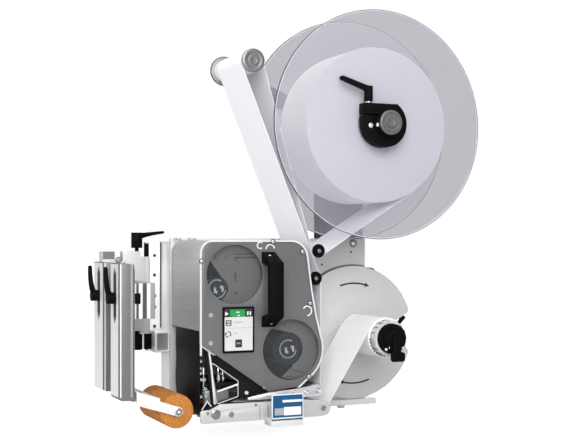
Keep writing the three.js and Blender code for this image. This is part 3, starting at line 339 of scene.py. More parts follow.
class Finishes:
    """Every finish of the machine, named for what the real surface is."""

    # Powder-coated steel sheet: an even off-white with a soft ripple.
    POWDER_COAT = Finish("powder_coated_steel", "#cacaca", "#c3c3c3", Grain.COATED, 5.0, 0.42, bump=0.06)
    # Brushed stainless sheet, with its scratches drawn coarser than real so that they show.
    BRUSHED_Y = Finish(
        "stainless_brushed_along_y", "#c8c9ca", "#babbbc", Grain.BRUSHED, 2.4, 0.5, 0.6, 0.015, Axis.Y
    )
    BRUSHED_Z = Finish(
        "stainless_brushed_along_z", "#606163", "#545557", Grain.BRUSHED, 4.5, 0.4, 0.8, 0.03, Axis.Z
    )
    BRUSHED_X = Finish(
        "stainless_brushed_along_x", "#d3d4d5", "#c5c6c7", Grain.BRUSHED, 2.4, 0.4, 0.4, 0.03, Axis.X
    )
    # Bead-blasted and anodised aluminium: pale grey and even. The pale copy also serves as painted
    # highlight on lit faces and edges.
    ANODISED = Finish("anodised_aluminium", "#cbcbcc", "#c0c0c1", Grain.BLASTED, 3.0, 0.4, 0.6, 0.04)
    ANODISED_PALE = Finish(
        "anodised_aluminium_pale", "#e9e9ea", "#e0e0e1", Grain.BLASTED, 3.0, 0.4, 0.3, 0.04
    )
    # Polished steel of rollers, pins and screws: near mirror, with faint smears.
    POLISHED = Finish("polished_steel", "#dfe1e3", "#cdcfd2", Grain.POLISHED, 6.0, 0.14, 1.0, 0.01)
    # Sheet with a fine satin face, as on the rewinder's flange.
    SATIN = Finish("satin_aluminium_sheet", "#cfcfd0", "#c8c8c9", Grain.BLASTED, 3.0, 0.55, 0.3, 0.03)
    # Zinc plating of the machine screws: a dull grey that picks up small lights.
    ZINC = Finish("zinc_plated_steel", "#a4a5a6", "#8e8f90", Grain.POLISHED, 2.0, 0.3, 0.9, 0.02)
    # Clean white paint on steel: bright and plain, so that edges show as thin grey lines. It also paints
    # the lit faces of the posts and the beam's end, and lines of painted highlight in the head area.
    WHITE_PAINT = Finish("white_paint", "#f6f6f6", "#eeeeee", Grain.COATED, 5.0, 0.4, bump=0.04)
    # Turned steel: mid grey, with soft light along its rings.
    DULL_STEEL = Finish("turned_steel", "#8e8f91", "#77787a", Grain.BLASTED, 3.0, 0.38, 0.8, 0.04)
    # Cast acrylic: clear with a cool grey tint; a ring of painted highlight and a rim of painted shade
    # stand for the light along its edge.
    ACRYLIC = Finish(
        "clear_acrylic", "#b9b8c4", "#b2b1bd", Grain.CLEAR, 40.0, 0.1, bump=0.0, alpha=0.2, ior=1.3
    )
    ACRYLIC_HIGHLIGHT = Finish(
        "acrylic_edge_highlight", "#eeeef6", "#dcdce8", Grain.CLEAR, 20.0, 0.2, bump=0.0, alpha=0.85, ior=1.49
    )
    ACRYLIC_RIM_SHADE = Finish(
        "acrylic_rim_shade", "#504f5a", "#494852", Grain.CLEAR, 20.0, 0.2, bump=0.0, alpha=1.0, ior=1.49
    )
    # Painted shade: the same anodising drawn darker, and half as dark, for faces that turn from the light.
    ANODISED_SHADED = Finish(
        "anodised_aluminium_shaded", "#7a7a7b", "#747475", Grain.BLASTED, 3.0, 0.45, 0.3, 0.04
    )
    ANODISED_HALF_SHADED = Finish(
        "anodised_aluminium_half_shaded", "#9e9e9f", "#979798", Grain.BLASTED, 3.0, 0.45, 0.3, 0.04
    )
    # Painted shade in slots, seams, grooves and gaps: a flat dark grey.
    SLOT_SHADE = Finish("slot_shade", "#4a4a4b", "#424243", Grain.PRINTED, 4.0, 0.6, bump=0.0)
    # Coated label paper: a matt pale grey with no glint.
    PAPER = Finish("label_paper", "#cfcfcf", "#cacaca", Grain.PAPER, 8.0, 0.55, bump=0.03)
    # The side of a tight roll, with faint rings where the layers end.
    ROLL_SIDE = Finish(
        "label_roll_side", "#dddce3", "#d8d7de", Grain.WOUND, 4.0, 0.7, bump=0.03, centre=(0.0, 0.0, 521.0)
    )
    # Bare silicone liner, whiter than the labels, and the faint rings of its wound side.
    LINER = Finish("silicone_liner", "#fcfcfc", "#f8f8f8", Grain.PAPER, 8.0, 0.5, bump=0.02)
    LINER_SIDE = Finish(
        "liner_roll_side", "#fcfcfd", "#f2f2f5", Grain.WOUND, 2.4, 0.7, bump=0.04, centre=(18.0, 0.0, 138.7)
    )
    # Glass-filled nylon of levers and knobs: black with a fine mould grain.
    NYLON = Finish("black_nylon", "#080809", "#050506", Grain.MOULDED, 1.6, 0.6, bump=0.12, ior=1.18)
    # Black powder-coated steel sheet: deep black with a soft, broad light.
    BLACK_STEEL = Finish(
        "black_coated_steel", "#101011", "#0b0b0c", Grain.COATED, 4.0, 0.55, bump=0.06, ior=1.25
    )
    # Nitrile rubber of the platen: black and dull.
    RUBBER = Finish("nitrile_rubber", "#1a1a1a", "#111111", Grain.MOULDED, 1.5, 0.75, bump=0.1)
    # Smoked polycarbonate: the cover is an even mid grey, and its windows let the spools show.
    SMOKED = Finish(
        "smoked_polycarbonate", "#656667", "#606162", Grain.MOULDED, 9.0, 0.36, bump=0.02, coat=0.1
    )
    WINDOW = Finish(
        "smoked_window", "#5c5c5e", "#565658", Grain.CLEAR, 40.0, 0.08, bump=0.0, alpha=0.22, ior=1.3
    )
    # Clear moulded polycarbonate, whose ribs look milky white.
    CLEAR_DRUM = Finish(
        "clear_polycarbonate", "#ececee", "#dcdcdf", Grain.CLEAR, 4.0, 0.25, bump=0.02, alpha=0.85
    )
    # The plain grey plate behind the windows, and the darker marks on it.
    LINING = Finish("cassette_lining", "#8c8c8d", "#868687", Grain.COATED, 6.0, 0.5, bump=0.02)
    LINING_MARK = Finish("cassette_marks", "#5a5a5c", "#545456", Grain.PRINTED, 6.0, 0.5, bump=0.0)
    # Thermal ribbon film: grey and smooth, on a dark moulded hub.
    RIBBON = Finish("ribbon_film", "#8c8e90", "#848688", Grain.MOULDED, 6.0, 0.35, bump=0.02)
    RIBBON_CORE = Finish("ribbon_hub", "#2a2a2c", "#252527", Grain.MOULDED, 4.0, 0.4, bump=0.03)
    # Open-cell sponge, tan orange with darker and lighter cells.
    SPONGE = Finish("orange_sponge", "#dd9447", "#9a5822", Grain.FOAM, 1.5, 0.95, bump=0.5)
    # Printed vinyl of the sign: flat colour with a slight sheen.
    SIGN_BLUE = Finish(
        "sign_blue_vinyl", "#155684", "#134f7a", Grain.PRINTED, 9.0, 0.5, bump=0.0, ior=1.3
    )
    SIGN_WHITE = Finish("sign_white_vinyl", "#eef0f3", "#e6e8ec", Grain.PRINTED, 9.0, 0.4, bump=0.0)
    # Screen-printed marks: flat ink in light blue, white and black. The white also paints small highlights
    # on the knob.
    MARK_BLUE = Finish("mark_light_blue", "#9fd2f2", "#96c8e8", Grain.PRINTED, 4.0, 0.4, bump=0.0)
    MARK_WHITE = Finish("mark_white", "#f2f2f2", "#e6e6e6", Grain.PRINTED, 4.0, 0.45, bump=0.0)
    MARK_BLACK = Finish("mark_black", "#161617", "#202022", Grain.PRINTED, 4.0, 0.45, bump=0.0)
    # The display's lit face: flat, even colours under smooth glass.
    SCREEN = Finish("display_glass", "#d4d5d7", "#cfd0d2", Grain.PRINTED, 12.0, 0.3, bump=0.0)
    SCREEN_GREEN = Finish("display_green", "#1f9a4a", "#1b9044", Grain.PRINTED, 5.0, 0.3, bump=0.0)
    SCREEN_GREY = Finish("display_grey", "#a9abae", "#9c9ea1", Grain.PRINTED, 2.0, 0.35, bump=0.0)
    SCREEN_DARK = Finish("display_dark", "#2c2d2f", "#262729", Grain.PRINTED, 3.0, 0.3, bump=0.0)


@dataclass
class Shape:
    """Corners in millimetres, the faces between them, and how wide its edges are broken."""

    corners: list[Vector] = field(default_factory=list)
    faces: list[tuple[int, ...]] = field(default_factory=list)
    edge: float = 0.0

    def moved(self, matrix: Matrix) -> "Shape":
        """A copy under a matrix in millimetres."""
        return Shape([matrix @ c for c in self.corners], list(self.faces), self.edge)

    def mesh(self) -> bpy.types.Mesh:
        """The shape as a mesh in metres.

        Returns:
            The mesh, with its doubles merged and its faces outwards.
        """
        bm = bmesh.new()
        placed = [bm.verts.new(c * MM) for c in self.corners]
        for face in self.faces:
            if len(set(face)) > 2:
                bm.faces.new([placed[i] for i in face])
        bmesh.ops.remove_doubles(bm, verts=bm.verts, dist=WELD)
        bmesh.ops.recalc_face_normals(bm, faces=bm.faces)
        break_edges(bm, self.edge)
        made = bpy.data.meshes.new("shape")
        bm.to_mesh(made)
        bm.free()
        return made


Part = tuple[Shape | bpy.types.Mesh, Finish]


def painted(finish: Finish, *shapes: Shape) -> list[Part]:
    """Shapes that share a finish."""
    return [(shape, finish) for shape in shapes]


def box_of(node: str) -> Box:
    """A node's reach in millimetres along each axis."""
    return tuple((low / MM, high / MM) for low, high in zip(*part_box(node)))


def break_edges(bm: bmesh.types.BMesh, width: float) -> None:
    """Rounds the sharp edges of a closed mesh.

    Args:
        bm: The mesh, in metres.
        width: How far the rounding reaches from an edge, in millimetres.
    """
    if not width:
        return
    sharp = [e for e in bm.edges if len(e.link_faces) == 2 and e.calc_face_angle(0.0) > SMOOTH_BELOW]
    bmesh.ops.bevel(
        bm,
        geom=sharp,
        offset=width * MM,
        segments=2,
        profile=0.5,
        affect="EDGES",
        clamp_overlap=True,
    )


def join_rings(made: Shape, rows: int, sides: int) -> None:
    """Puts faces between rings of corners that follow each other.

    Args:
        made: The shape, which has only these corners.
        rows: How many rings there are.
        sides: Corners in each ring.
    """
    for start in range(0, (rows - 1) * sides, sides):
        for i in range(sides):
            j = (i + 1) % sides
            made.faces.append((start + i, start + j, start + sides + j, start + sides + i))


def lathe(
    profile: Sequence[Point],
    centre: Point = (0.0, 0.0),
    axis: Axis = Axis.Y,
    sides: int = 48,
    edge: float = 0.0,
) -> Shape:
    """Turns a profile round an axis.

    Args:
        profile: Places along the axis and their radii, from one end to the other.
        centre: Where the axis stands, in the other two coordinates.
        axis: The axis.
        sides: Faces round it.
        edge: How wide the sharp edges are broken.

    Returns:
        The turned shape, closed where the profile's ends have a radius.
    """
    made = Shape(edge=edge)
    for along, radius in profile:
        for i in range(sides):
            turn = 2 * math.pi * i / sides
            first = centre[0] + radius * math.cos(turn)
            made.corners.append(axis.at(along, first, centre[1] + radius * math.sin(turn)))
    join_rings(made, len(profile), sides)
    closed = profile[0] == profile[-1]
    if not closed and profile[0][1]:
        made.faces.append(tuple(range(sides)))
    if not closed and profile[-1][1]:
        last = (len(profile) - 1) * sides
        made.faces.append(tuple(range(last, last + sides)))
    return made


def pin(span: Span, radius: float, centre: Point, sides: int = 20, edge: float = 0.0) -> Shape:
    """A plain round bar along Y."""
    return lathe([(span[0], radius), (span[1], radius)], centre, sides=sides, edge=edge)


def ring(span: Span, radii: Span, centre: Point, sides: int = 64) -> Shape:
    """A plain ring round an axis along Y.

    Args:
        span: Its front and back.
        radii: Its bore's radius and its own.
        centre: Where the axis stands.
        sides: Faces round it.

    Returns:
        The ring.
    """
    (y0, y1), (inner, outer) = span, radii
    profile = [(y0, inner), (y0, outer), (y1, outer), (y1, inner), (y0, inner)]
    return lathe(profile, centre, sides=sides)


def prism(
    outline: Sequence[Point],
    span: Span,
    axis: Axis = Axis.Y,
    edge: float = 0.3,
    holes: Iterable[Sequence[Point]] = (),
) -> Shape:
    """Pushes an outline along an axis.

    Args:
        outline: The outline in the other two coordinates.
        span: Where it starts and ends along the axis.
        axis: The axis.
        edge: How wide the sharp edges are broken.
        holes: Outlines that are left open.

    Returns:
        The pushed shape.
    """
    loops = [list(outline), *[list(hole) for hole in holes]]
    made = Shape(edge=edge)
    for along in span:
        for loop in loops:
            made.corners.extend(axis.at(along, *p) for p in loop)
    count = sum(len(loop) for loop in loops)
    start = 0
    for loop in loops:
        for i in range(len(loop)):
            a, b = start + i, start + (i + 1) % len(loop)
            made.faces.append((a, b, b + count, a + count))
        start += len(loop)
    if len(loops) == 1:
        caps = [tuple(range(count))]
    else:
        caps = tessellate_polygon([[Vector((*p, 0.0)) for p in loop] for loop in loops])
    for cap in caps:
        made.faces.append(tuple(cap))
        made.faces.append(tuple(i + count for i in cap))
    return made


def block(x: Span, y: Span, z: Span, edge: float = 0.3) -> Shape:
    """A box between two places on each axis, with broken edges."""
    return prism([(x[0], z[0]), (x[1], z[0]), (x[1], z[1]), (x[0], z[1])], y, edge=edge)


def mark(x: Span, y: Span, z: Span) -> Shape:
    """A flat box with sharp edges, for printed or shaded lines."""
    return block(x, y, z, 0.0)


def decal(outline: Sequence[Point], span: Span) -> Shape:
    """An outline pushed along Y with sharp edges."""
    return prism(outline, span, edge=0.0)


def on_circle(centre: Point, radius: float, degrees: float) -> Point:
    """The place on a circle at an angle."""
    return arc(centre, radius, degrees, degrees, 1)[0]


def arc(centre: Point, radius: float, start: float, end: float, steps: int) -> list[Point]:
    """Points along an arc.

    Args:
        centre: Its centre.
        radius: Its radius.
        start: The first angle in degrees.
        end: The last angle in degrees.
        steps: How many steps it has.

    Returns:
        The points, both ends included.
    """
    turns = [math.radians(start + (end - start) * i / steps) for i in range(steps + 1)]
    return [(centre[0] + radius * math.cos(t), centre[1] + radius * math.sin(t)) for t in turns]


def rounded_box(x: Span, z: Span, radius: float) -> list[Point]:
    """The outline of a box whose corners are all rounded alike."""
    corners = [(x[0], z[0]), (x[1], z[0]), (x[1], z[1]), (x[0], z[1])]
    return rounded([(*corner, radius) for corner in corners])


def rounded(corners: Sequence[Place], steps: int = 6) -> list[Point]:
    """An outline whose corners are rounded.

    Args:
        corners: Each corner's place and its radius, which may be zero.
        steps: Steps in each rounding.

    Returns:
        The outline's points.
    """
    made: list[Point] = []
    for i, (x, z, radius) in enumerate(corners):
        here = Vector((x, z))
        if not radius:
            made.append((x, z))
            continue
        back = (Vector(corners[i - 1][:2]) - here).normalized()
        ahead = (Vector(corners[(i + 1) % len(corners)][:2]) - here).normalized()
        half = back.angle(ahead) / 2
        centre = here + (back + ahead).normalized() * radius / math.sin(half)
        run = radius / math.tan(half)
        start, end = here + back * run - centre, here + ahead * run - centre
        first = math.atan2(start.y, start.x)
        turn = math.remainder(math.atan2(end.y, end.x) - first, 2 * math.pi)
        for k in range(steps + 1):
            a = first + turn * k / steps
            made.append((centre.x + radius * math.cos(a), centre.y + radius * math.sin(a)))
    return made


def band(path: Sequence[Point], thick: float, span: Span, axis: Axis = Axis.Y) -> Shape:
    """A strip of even thickness along an open path, pushed along an axis.

    Args:
        path: The middle of the strip.
        thick: Its thickness.
        span: Where it starts and ends along the axis.
        axis: The axis.

    Returns:
        The strip.
    """
    points = [Vector(p) for p in path]
    sides: tuple[list[Point], list[Point]] = ([], [])
    for i, p in enumerate(points):
        run = (points[min(i + 1, len(points) - 1)] - points[max(i - 1, 0)]).normalized()
        across = Vector((-run.y, run.x)) * thick / 2
        sides[0].append(tuple(p + across))
        sides[1].append(tuple(p - across))
    return prism([*sides[0], *reversed(sides[1])], span, axis, edge=0.0)


def rod(start: Vector, end: Vector, radius: float, sides: int = 16, edge: float = 0.3) -> Shape:
    """A round bar between two places.

    Args:
        start: The middle of its first end, in millimetres.
        end: The middle of its last end.
        radius: Its radius.
        sides: Faces round it.
        edge: How wide the sharp edges are broken.

    Returns:
        The bar.
    """
    length = (end - start).length
    turn = (end - start).to_track_quat("Z", "Y").to_matrix().to_4x4()
    bar = lathe([(0.0, radius), (length, radius)], axis=Axis.Z, sides=sides, edge=edge)
    return bar.moved(Matrix.Translation(start) @ turn)


def screw_head(radius: float, height: float, socket: float) -> Shape:
    """A domed screw head on the ground plane, with a six-sided socket.

    Args:
        radius: The head's radius.
        height: How far it stands up.
        socket: The socket's radius across its corners.

    Returns:
        The head, pointing up.
    """
    sides = 12
    rings = [
        (radius, 0.0, 0.0),
        (radius, height * 0.45, 0.0),
        (radius * 0.86, height * 0.85, 0.0),
        (radius * 0.66, height, 0.0),
        (socket, height, 1.0),
        (socket, height * 0.35, 1.0),
    ]
    made = Shape()
    for r, z, hexagonal in rings:
        for i in range(sides):
            turn = 2 * math.pi * i / sides
            flat = 1 - hexagonal * (i % 2) * (1 - math.cos(math.pi / 6))
            made.corners.append(Vector((r * flat * math.cos(turn), r * flat * math.sin(turn), z)))
    join_rings(made, len(rings), sides)
    last = (len(rings) - 1) * sides
    made.faces.append(tuple(range(sides)))
    made.faces.append(tuple(range(last, last + sides)))
    return made


class Facing(Enum):
    """Which way a fastener's head points, as a turn of one that points up."""

    FRONT = (math.pi / 2, 0.0, 0.0)
    BACK = (-math.pi / 2, 0.0, 0.0)
    UP = (0.0, 0.0, 0.0)
    DOWN = (math.pi, 0.0, 0.0)


class NodeTree:
    """A Geometry Nodes tree with named inputs, which ends in real faces of one material."""

    def __init__(self, name: str, sockets: dict[str, str]) -> None:
        """Makes the empty tree.

        Args:
            name: The tree's name.
            sockets: The kind of each named input besides its geometry and material.
        """
        self.tree = bpy.data.node_groups.new(name, "GeometryNodeTree")
        self.ids: dict[str, str] = {}
        face = self.tree.interface
        for label, kind in {"Geometry": "Geometry", **sockets, "Material": "Material"}.items():
            made = face.new_socket(name=label, in_out="INPUT", socket_type=f"NodeSocket{kind}")
            self.ids[label] = made.identifier
        face.new_socket(name="Geometry", in_out="OUTPUT", socket_type="NodeSocketGeometry")
        self.inputs = self.add("NodeGroupInput").outputs

    def add(self, kind: str, settings: dict | None = None, inputs: dict | None = None) -> Any:
        """Adds a node to the tree."""
        return add_node(self.tree, kind, settings, inputs)

    def close(self, geometry: bpy.types.NodeSocket) -> "NodeTree":
        """Ends the tree: what it made becomes real faces and gets its material.

        Args:
            geometry: The last geometry.

        Returns:
            The tree.
        """
        real = self.add("GeometryNodeRealizeInstances", inputs={"Geometry": geometry})
        dressed = self.add(
            "GeometryNodeSetMaterial",
            inputs={"Geometry": real.outputs[0], "Material": self.inputs["Material"]},
        )
        self.add("NodeGroupOutput", inputs={"Geometry": dressed.outputs[0]})
        return self

    def run(self, start: Shape | None, finish: Finish, values: dict[str, Any]) -> bpy.types.Mesh:
        """Runs the tree on a scratch object.

        Args:
            start: What the tree starts from, if anything. Its corners are points, or a line
                where it has one empty face.
            finish: The finish of what it makes.
            values: Its inputs by name.

        Returns:
            A plain mesh.
        """
        base = bpy.data.meshes.new("start")
        if start is not None:
            count = len(start.corners) if start.faces == [()] else 0
            edges = [(i, i + 1) for i in range(count - 1)]
            base.from_pydata([c * MM for c in start.corners], edges, [])
        scratch = add_object("scratch", base)
        modifier = scratch.modifiers.new("tree", "NODES")
        modifier.node_group = self.tree
        for label, value in {"Material": finish.material(), **values}.items():
            modifier[self.ids[label]] = value
        bpy.context.view_layer.update()
        evaluated = scratch.evaluated_get(bpy.context.evaluated_depsgraph_get())
        made = bpy.data.meshes.new_from_object(evaluated)
        bpy.data.objects.remove(scratch)
        return made


@cache
def fastener_tree() -> NodeTree:
    """A copy of a head at every given point, all turned the same way.

    Returns:
        The tree, made once.
    """
    sockets = {"Head": "Object", "Turn": "Vector"}
    tree = NodeTree("fasteners_at_points", sockets)
    head = tree.add("GeometryNodeObjectInfo", inputs={"Object": tree.inputs["Head"]})
    copies = tree.add(
        "GeometryNodeInstanceOnPoints",
        inputs={
            "Points": tree.inputs["Geometry"],
            "Instance": head.outputs["Geometry"],
            "Rotation": tree.inputs["Turn"],
        },
    )
    return tree.close(copies.outputs[0])


@cache
def row_tree() -> NodeTree:
    """A straight row of equal blocks, for slots, vents and pads.

    Returns:
        The tree, made once.
    """
    sockets = {"Count": "Int", "Start": "Vector", "Step": "Vector", "Size": "Vector"}
    tree = NodeTree("row_of_blocks", sockets)
    line = tree.add(
        "GeometryNodeMeshLine",
        inputs={
            "Count": tree.inputs["Count"],
            "Start Location": tree.inputs["Start"],
            "Offset": tree.inputs["Step"],
        },
    )
    cube = tree.add("GeometryNodeMeshCube", inputs={"Size": tree.inputs["Size"]})
    copies = tree.add(
        "GeometryNodeInstanceOnPoints",
        inputs={"Points": line.outputs[0], "Instance": cube.outputs["Mesh"]},
    )
    return tree.close(copies.outputs[0])


@cache
def ribs_tree() -> NodeTree:
    """A ring of ribs round an axis that runs along Y.

    Returns:
        The tree, made once.
    """
    sockets = {"Count": "Int", "Radius": "Float", "Size": "Vector", "Centre": "Vector"}
    tree = NodeTree("ring_of_ribs", sockets)
    circle = tree.add(
        "GeometryNodeMeshCircle",
        inputs={"Vertices": tree.inputs["Count"], "Radius": tree.inputs["Radius"]},
    )
    outwards = tree.add(
        "FunctionNodeAlignRotationToVector",
        {"axis": "X"},
        {"Vector": tree.add("GeometryNodeInputPosition").outputs[0]},
    )
    cube = tree.add("GeometryNodeMeshCube", inputs={"Size": tree.inputs["Size"]})
    copies = tree.add(
        "GeometryNodeInstanceOnPoints",
        inputs={
            "Points": circle.outputs[0],
            "Instance": cube.outputs["Mesh"],
            "Rotation": outwards.outputs[0],
        },
    )
    stood = tree.add(
        "GeometryNodeTransform",
        inputs={
            "Geometry": copies.outputs[0],
            "Rotation": Facing.FRONT.value,
            "Translation": tree.inputs["Centre"],
        },
    )
    return tree.close(stood.outputs[0])


@cache
def web_tree() -> NodeTree:
    """A flat web of even width and thickness along a route in X and Z.

    Returns:
        The tree, made once.
    """
    sockets = {"Width": "Float", "Thickness": "Float"}
    tree = NodeTree("web_along_route", sockets)
    curve = tree.add("GeometryNodeMeshToCurve", inputs={"Mesh": tree.inputs["Geometry"]})
    flat = tree.add(
        "GeometryNodeSetCurveNormal",
        {"mode": "FREE"},
        {"Curve": curve.outputs[0], "Normal": (0.0, 1.0, 0.0)},
    )
    section = tree.add(
        "GeometryNodeCurvePrimitiveQuadrilateral",
        {"mode": "RECTANGLE"},
        {"Width": tree.inputs["Width"], "Height": tree.inputs["Thickness"]},
    )
    swept = tree.add(
        "GeometryNodeCurveToMesh",
        inputs={
            "Curve": flat.outputs[0],
            "Profile Curve": section.outputs[0],
            "Fill Caps": True,
        },
    )
    return tree.close(swept.outputs[0])


class Workshop:
    """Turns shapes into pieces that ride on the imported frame."""

    def __init__(self, frame: dict[str, Any]) -> None:
        """Reads which body and which material slot every node has.

        Args:
            frame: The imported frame.
        """
        record = frame["record"]
        self.nodes: dict[str, bpy.types.Object] = frame["nodes"]
        self.slots = {s["node"]: s["material_slot"] for s in record["subparts"]}
        self.bodies = {n: b for b, ns in record["behaviour"]["bodies"].items() for n in ns}

    def piece(
        self,
        name: str,
        parts: Sequence[Part],
        on: str,
        stands_for: Sequence[str] = (),
    ) -> bpy.types.Object:
        """Joins shapes into one piece.

        Args:
            name: The piece's name.
            parts: Its shapes, each with its finish.
            on: A node that is on the body the piece rides on.
            stands_for: Nodes that the piece replaces.

        Returns:
            The piece.
        """
        mesh = bpy.data.meshes.new(name)
        finishes: list[Finish] = []
        bm = bmesh.new()
        for shape, finish in parts:
            if finish not in finishes:
                finishes.append(finish)
            known = len(bm.faces)
            source = shape.mesh() if isinstance(shape, Shape) else shape
            bm.from_mesh(source)
            bpy.data.meshes.remove(source)
            bm.faces.ensure_lookup_table()
            for face in bm.faces[known:]:
                face.material_index = finishes.index(finish)
                face.smooth = True
        bm.to_mesh(mesh)
        bm.free()
        for finish in finishes:
            mesh.materials.append(finish.material())
        mesh.set_sharp_from_angle(angle=SMOOTH_BELOW)
        made = add_object(name, mesh)
        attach(made, self.bodies[on])
        if stands_for:
            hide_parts(*stands_for)
        LOG.info("%s: %d faces on %s", name, len(mesh.polygons), self.bodies[on])
        return made

    def copy(self, node: str, edge: float = 0.35) -> bpy.types.Mesh:
        """A node's own shape with its triangles merged and its edges broken.

        Args:
            node: The node.
            edge: How wide its edges are broken, in millimetres.

        Returns:
            The mesh.
        """
        bm = bmesh.new()
        bm.from_mesh(self.nodes[node].data)
        bmesh.ops.remove_doubles(bm, verts=bm.verts, dist=WELD)
        bmesh.ops.dissolve_limit(bm, angle_limit=FLAT_BELOW, verts=bm.verts, edges=bm.edges)
        break_edges(bm, edge)
        made = bpy.data.meshes.new(node)
        bm.to_mesh(made)
        bm.free()
        return made

    def stand_in(self, node: str, ending: str, parts: Sequence[Part]) -> bpy.types.Object:
        """A piece that replaces one node, and is named after it."""
        return self.piece(f"{node}_{ending}", parts, node, (node,))

    def dress(
        self, node: str, finish: Finish, edge: float = 0.35, extra: Sequence[Part] = ()
    ) -> bpy.types.Object:
        """A piece with the node's own shape, broken edges and more shapes on it.

        Args:
            node: The node that it stands for.
            finish: Its finish.
            edge: How wide its edges are broken, in millimetres.
            extra: Further shapes with their finishes.

        Returns:
            The piece.
        """
        return self.stand_in(node, "dressed", [(self.copy(node, edge), finish), *extra])

    def screws(
        self,
        name: str,
        places: Sequence[Place],
        on: str,
        radius: float = 3.4,
        height: float = 2.0,
        finish: Finish = Finishes.ZINC,
        facing: Facing = Facing.FRONT,
    ) -> bpy.types.Object:
        """Screw heads at given places, made by the fastener tree.

        Args:
            name: The piece's name.
            places: Where the heads sit, in millimetres.
            on: A node on the body they ride on.
            radius: A head's radius.
            height: How far a head stands up.
            finish: Their finish.
            facing: Which way they point.

        Returns:
            The piece.
        """
        head = add_object("head", screw_head(radius, height, radius * SOCKET_SHARE).mesh())
        points = Shape([Vector(p) for p in places])
        values = {"Head": head, "Turn": facing.value}
        mesh = fastener_tree().run(points, finish, values)
        bpy.data.objects.remove(head)
        return self.piece(name, [(mesh, finish)], on)


@dataclass
class Studio:
    """Floor, lamps, world and camera."""

    floor_z: float = -36.0
    floor_size: float = 30.0
    floor_colour: str = "#d8d8d8"
    floor_lift: float = 0.82
    lamps: tuple[tuple[str, Place, float, float], ...] = (
        ("left", (-2900.0, 200.0, 900.0), 1.6, 20.0),
        ("front", (-1000.0, -2700.0, 1500.0), 2.0, 86.0),
        ("top", (-900.0, -400.0, 2500.0), 1.8, 8.0),
        ("back", (1500.0, 2100.0, 1500.0), 1.8, 19.0),
    )
    lamp_aim: Place = (-100.0, -50.0, 330.0)
    camera_at: Place = (-977.28, -1998.82, 317.5)
    camera_turn: float = 23.25
    lens: float = 73.43
    sensor: float = 36.0
    shift_y: float = 0.0322
    seen_through: float = 0.48
    ambient: float = 0.43
    mirrored: Span = (0.3, 0.55)
    mirrored_heights: Span = (-0.1, 0.8)

    def build(self) -> None:
        """Makes everything that stands round the machine."""
        self._floor()
        self._world()
        for name, at, size, power in self.lamps:
            self._lamp(name, at, size, power)
        self._camera()

    def _floor(self) -> None:
        """A pale floor that shows as white and keeps the machine's shadow."""
        half = self.floor_size / 2
        mesh = bpy.data.meshes.new("floor")
        z = self.floor_z * MM
        corners = [(-half, -half, z), (half, -half, z), (half, half, z), (-half, half, z)]
        mesh.from_pydata(corners, [], [(0, 1, 2, 3)])
        made = bpy.data.materials.new("pale_floor")
        tree = empty_tree(made)
        rays = add_node(tree, "ShaderNodeLightPath").outputs
        matt = add_node(tree, "ShaderNodeBsdfDiffuse", inputs={"Color": to_linear(self.floor_colour)})
        shown = add_node(
            tree,
            "ShaderNodeMath",
            {"operation": "MULTIPLY"},
            {0: rays["Is Camera Ray"], 1: self.floor_lift},
        )
        lift = add_node(
            tree,
            "ShaderNodeEmission",
            inputs={"Color": to_linear(WHITE), "Strength": shown.outputs[0]},
        )
        both = add_node(tree, "ShaderNodeAddShader", inputs={0: matt.outputs[0], 1: lift.outputs[0]})
        add_node(tree, "ShaderNodeOutputMaterial", inputs={"Surface": both.outputs[0]})
        mesh.materials.append(made)
        add_object("floor", mesh)

    def _world(self) -> None:
        """A white backdrop for the eye, and a plain grey light from all round.

        Rays that have passed a clear disc see a greyer backdrop, which gives the acrylic
        the cool grey that it has against white.
        """
        world = bpy.data.worlds.new("studio")
        bpy.context.scene.world = world
        tree = empty_tree(world)
        rays = add_node(tree, "ShaderNodeLightPath").outputs
        through = add_node(
            tree,
            "ShaderNodeMath",
            {"operation": "GREATER_THAN"},
            {0: rays["Transparent Depth"], 1: 0.5},
        )
        seen = add_node(
            tree,
            "ShaderNodeMapRange",
            inputs={"Value": through.outputs[0], "To Min": 1.0, "To Max": self.seen_through},
        )
        heading = add_node(tree, "ShaderNodeTexCoord").outputs["Generated"]
        upwards = add_node(tree, "ShaderNodeSeparateXYZ", inputs={0: heading}).outputs["Z"]
        mirrored = add_node(
            tree,
            "ShaderNodeMapRange",
            inputs={
                "Value": upwards,
                "From Min": self.mirrored_heights[0],
                "From Max": self.mirrored_heights[1],
                "To Min": self.mirrored[0],
                "To Max": self.mirrored[1],
            },
        )
        strength: float | bpy.types.NodeSocket = self.ambient
        for kind, level in (
            ("Is Glossy Ray", mirrored.outputs[0]),
            ("Is Transmission Ray", 1.0),
            ("Is Camera Ray", seen.outputs[0]),
        ):
            chosen = add_node(tree, "ShaderNodeMix", inputs={0: rays[kind], 2: strength, 3: level})
            strength = chosen.outputs[0]
        white = add_node(
            tree,
            "ShaderNodeBackground",
            inputs={"Color": to_linear(WHITE), "Strength": strength},
        )
        add_node(tree, "ShaderNodeOutputWorld", inputs={"Surface": white.outputs[0]})

    def _lamp(self, name: str, at: Place, size: float, power: float) -> None:
        """A soft square lamp that looks at the machine's middle.

        Args:
            name: Its name.
            at: Its place in millimetres.
            size: Its side in metres.
            power: Its power in watts.
        """
        data = bpy.data.lights.new(name, "AREA")
        data.size = size
        data.energy = power
        lamp = add_object(name, data)
        lamp.location = Vector(at) * MM
        ahead = Vector(self.lamp_aim) * MM - lamp.location
        lamp.rotation_euler = ahead.to_track_quat("-Z", "Y").to_euler()

    def _camera(self) -> None:
        """The camera at the photograph's place and angle."""
        data = bpy.data.cameras.new("camera")
        data.lens = self.lens
        data.sensor_width = self.sensor
        data.shift_y = self.shift_y
        camera = add_object("camera", data)
        turn = math.radians(self.camera_turn)
        camera.location = Vector(self.camera_at) * MM
        ahead = Vector((math.sin(turn), math.cos(turn), 0.0))
        camera.rotation_euler = ahead.to_track_quat("-Z", "Y").to_euler()
        bpy.context.scene.camera = camera


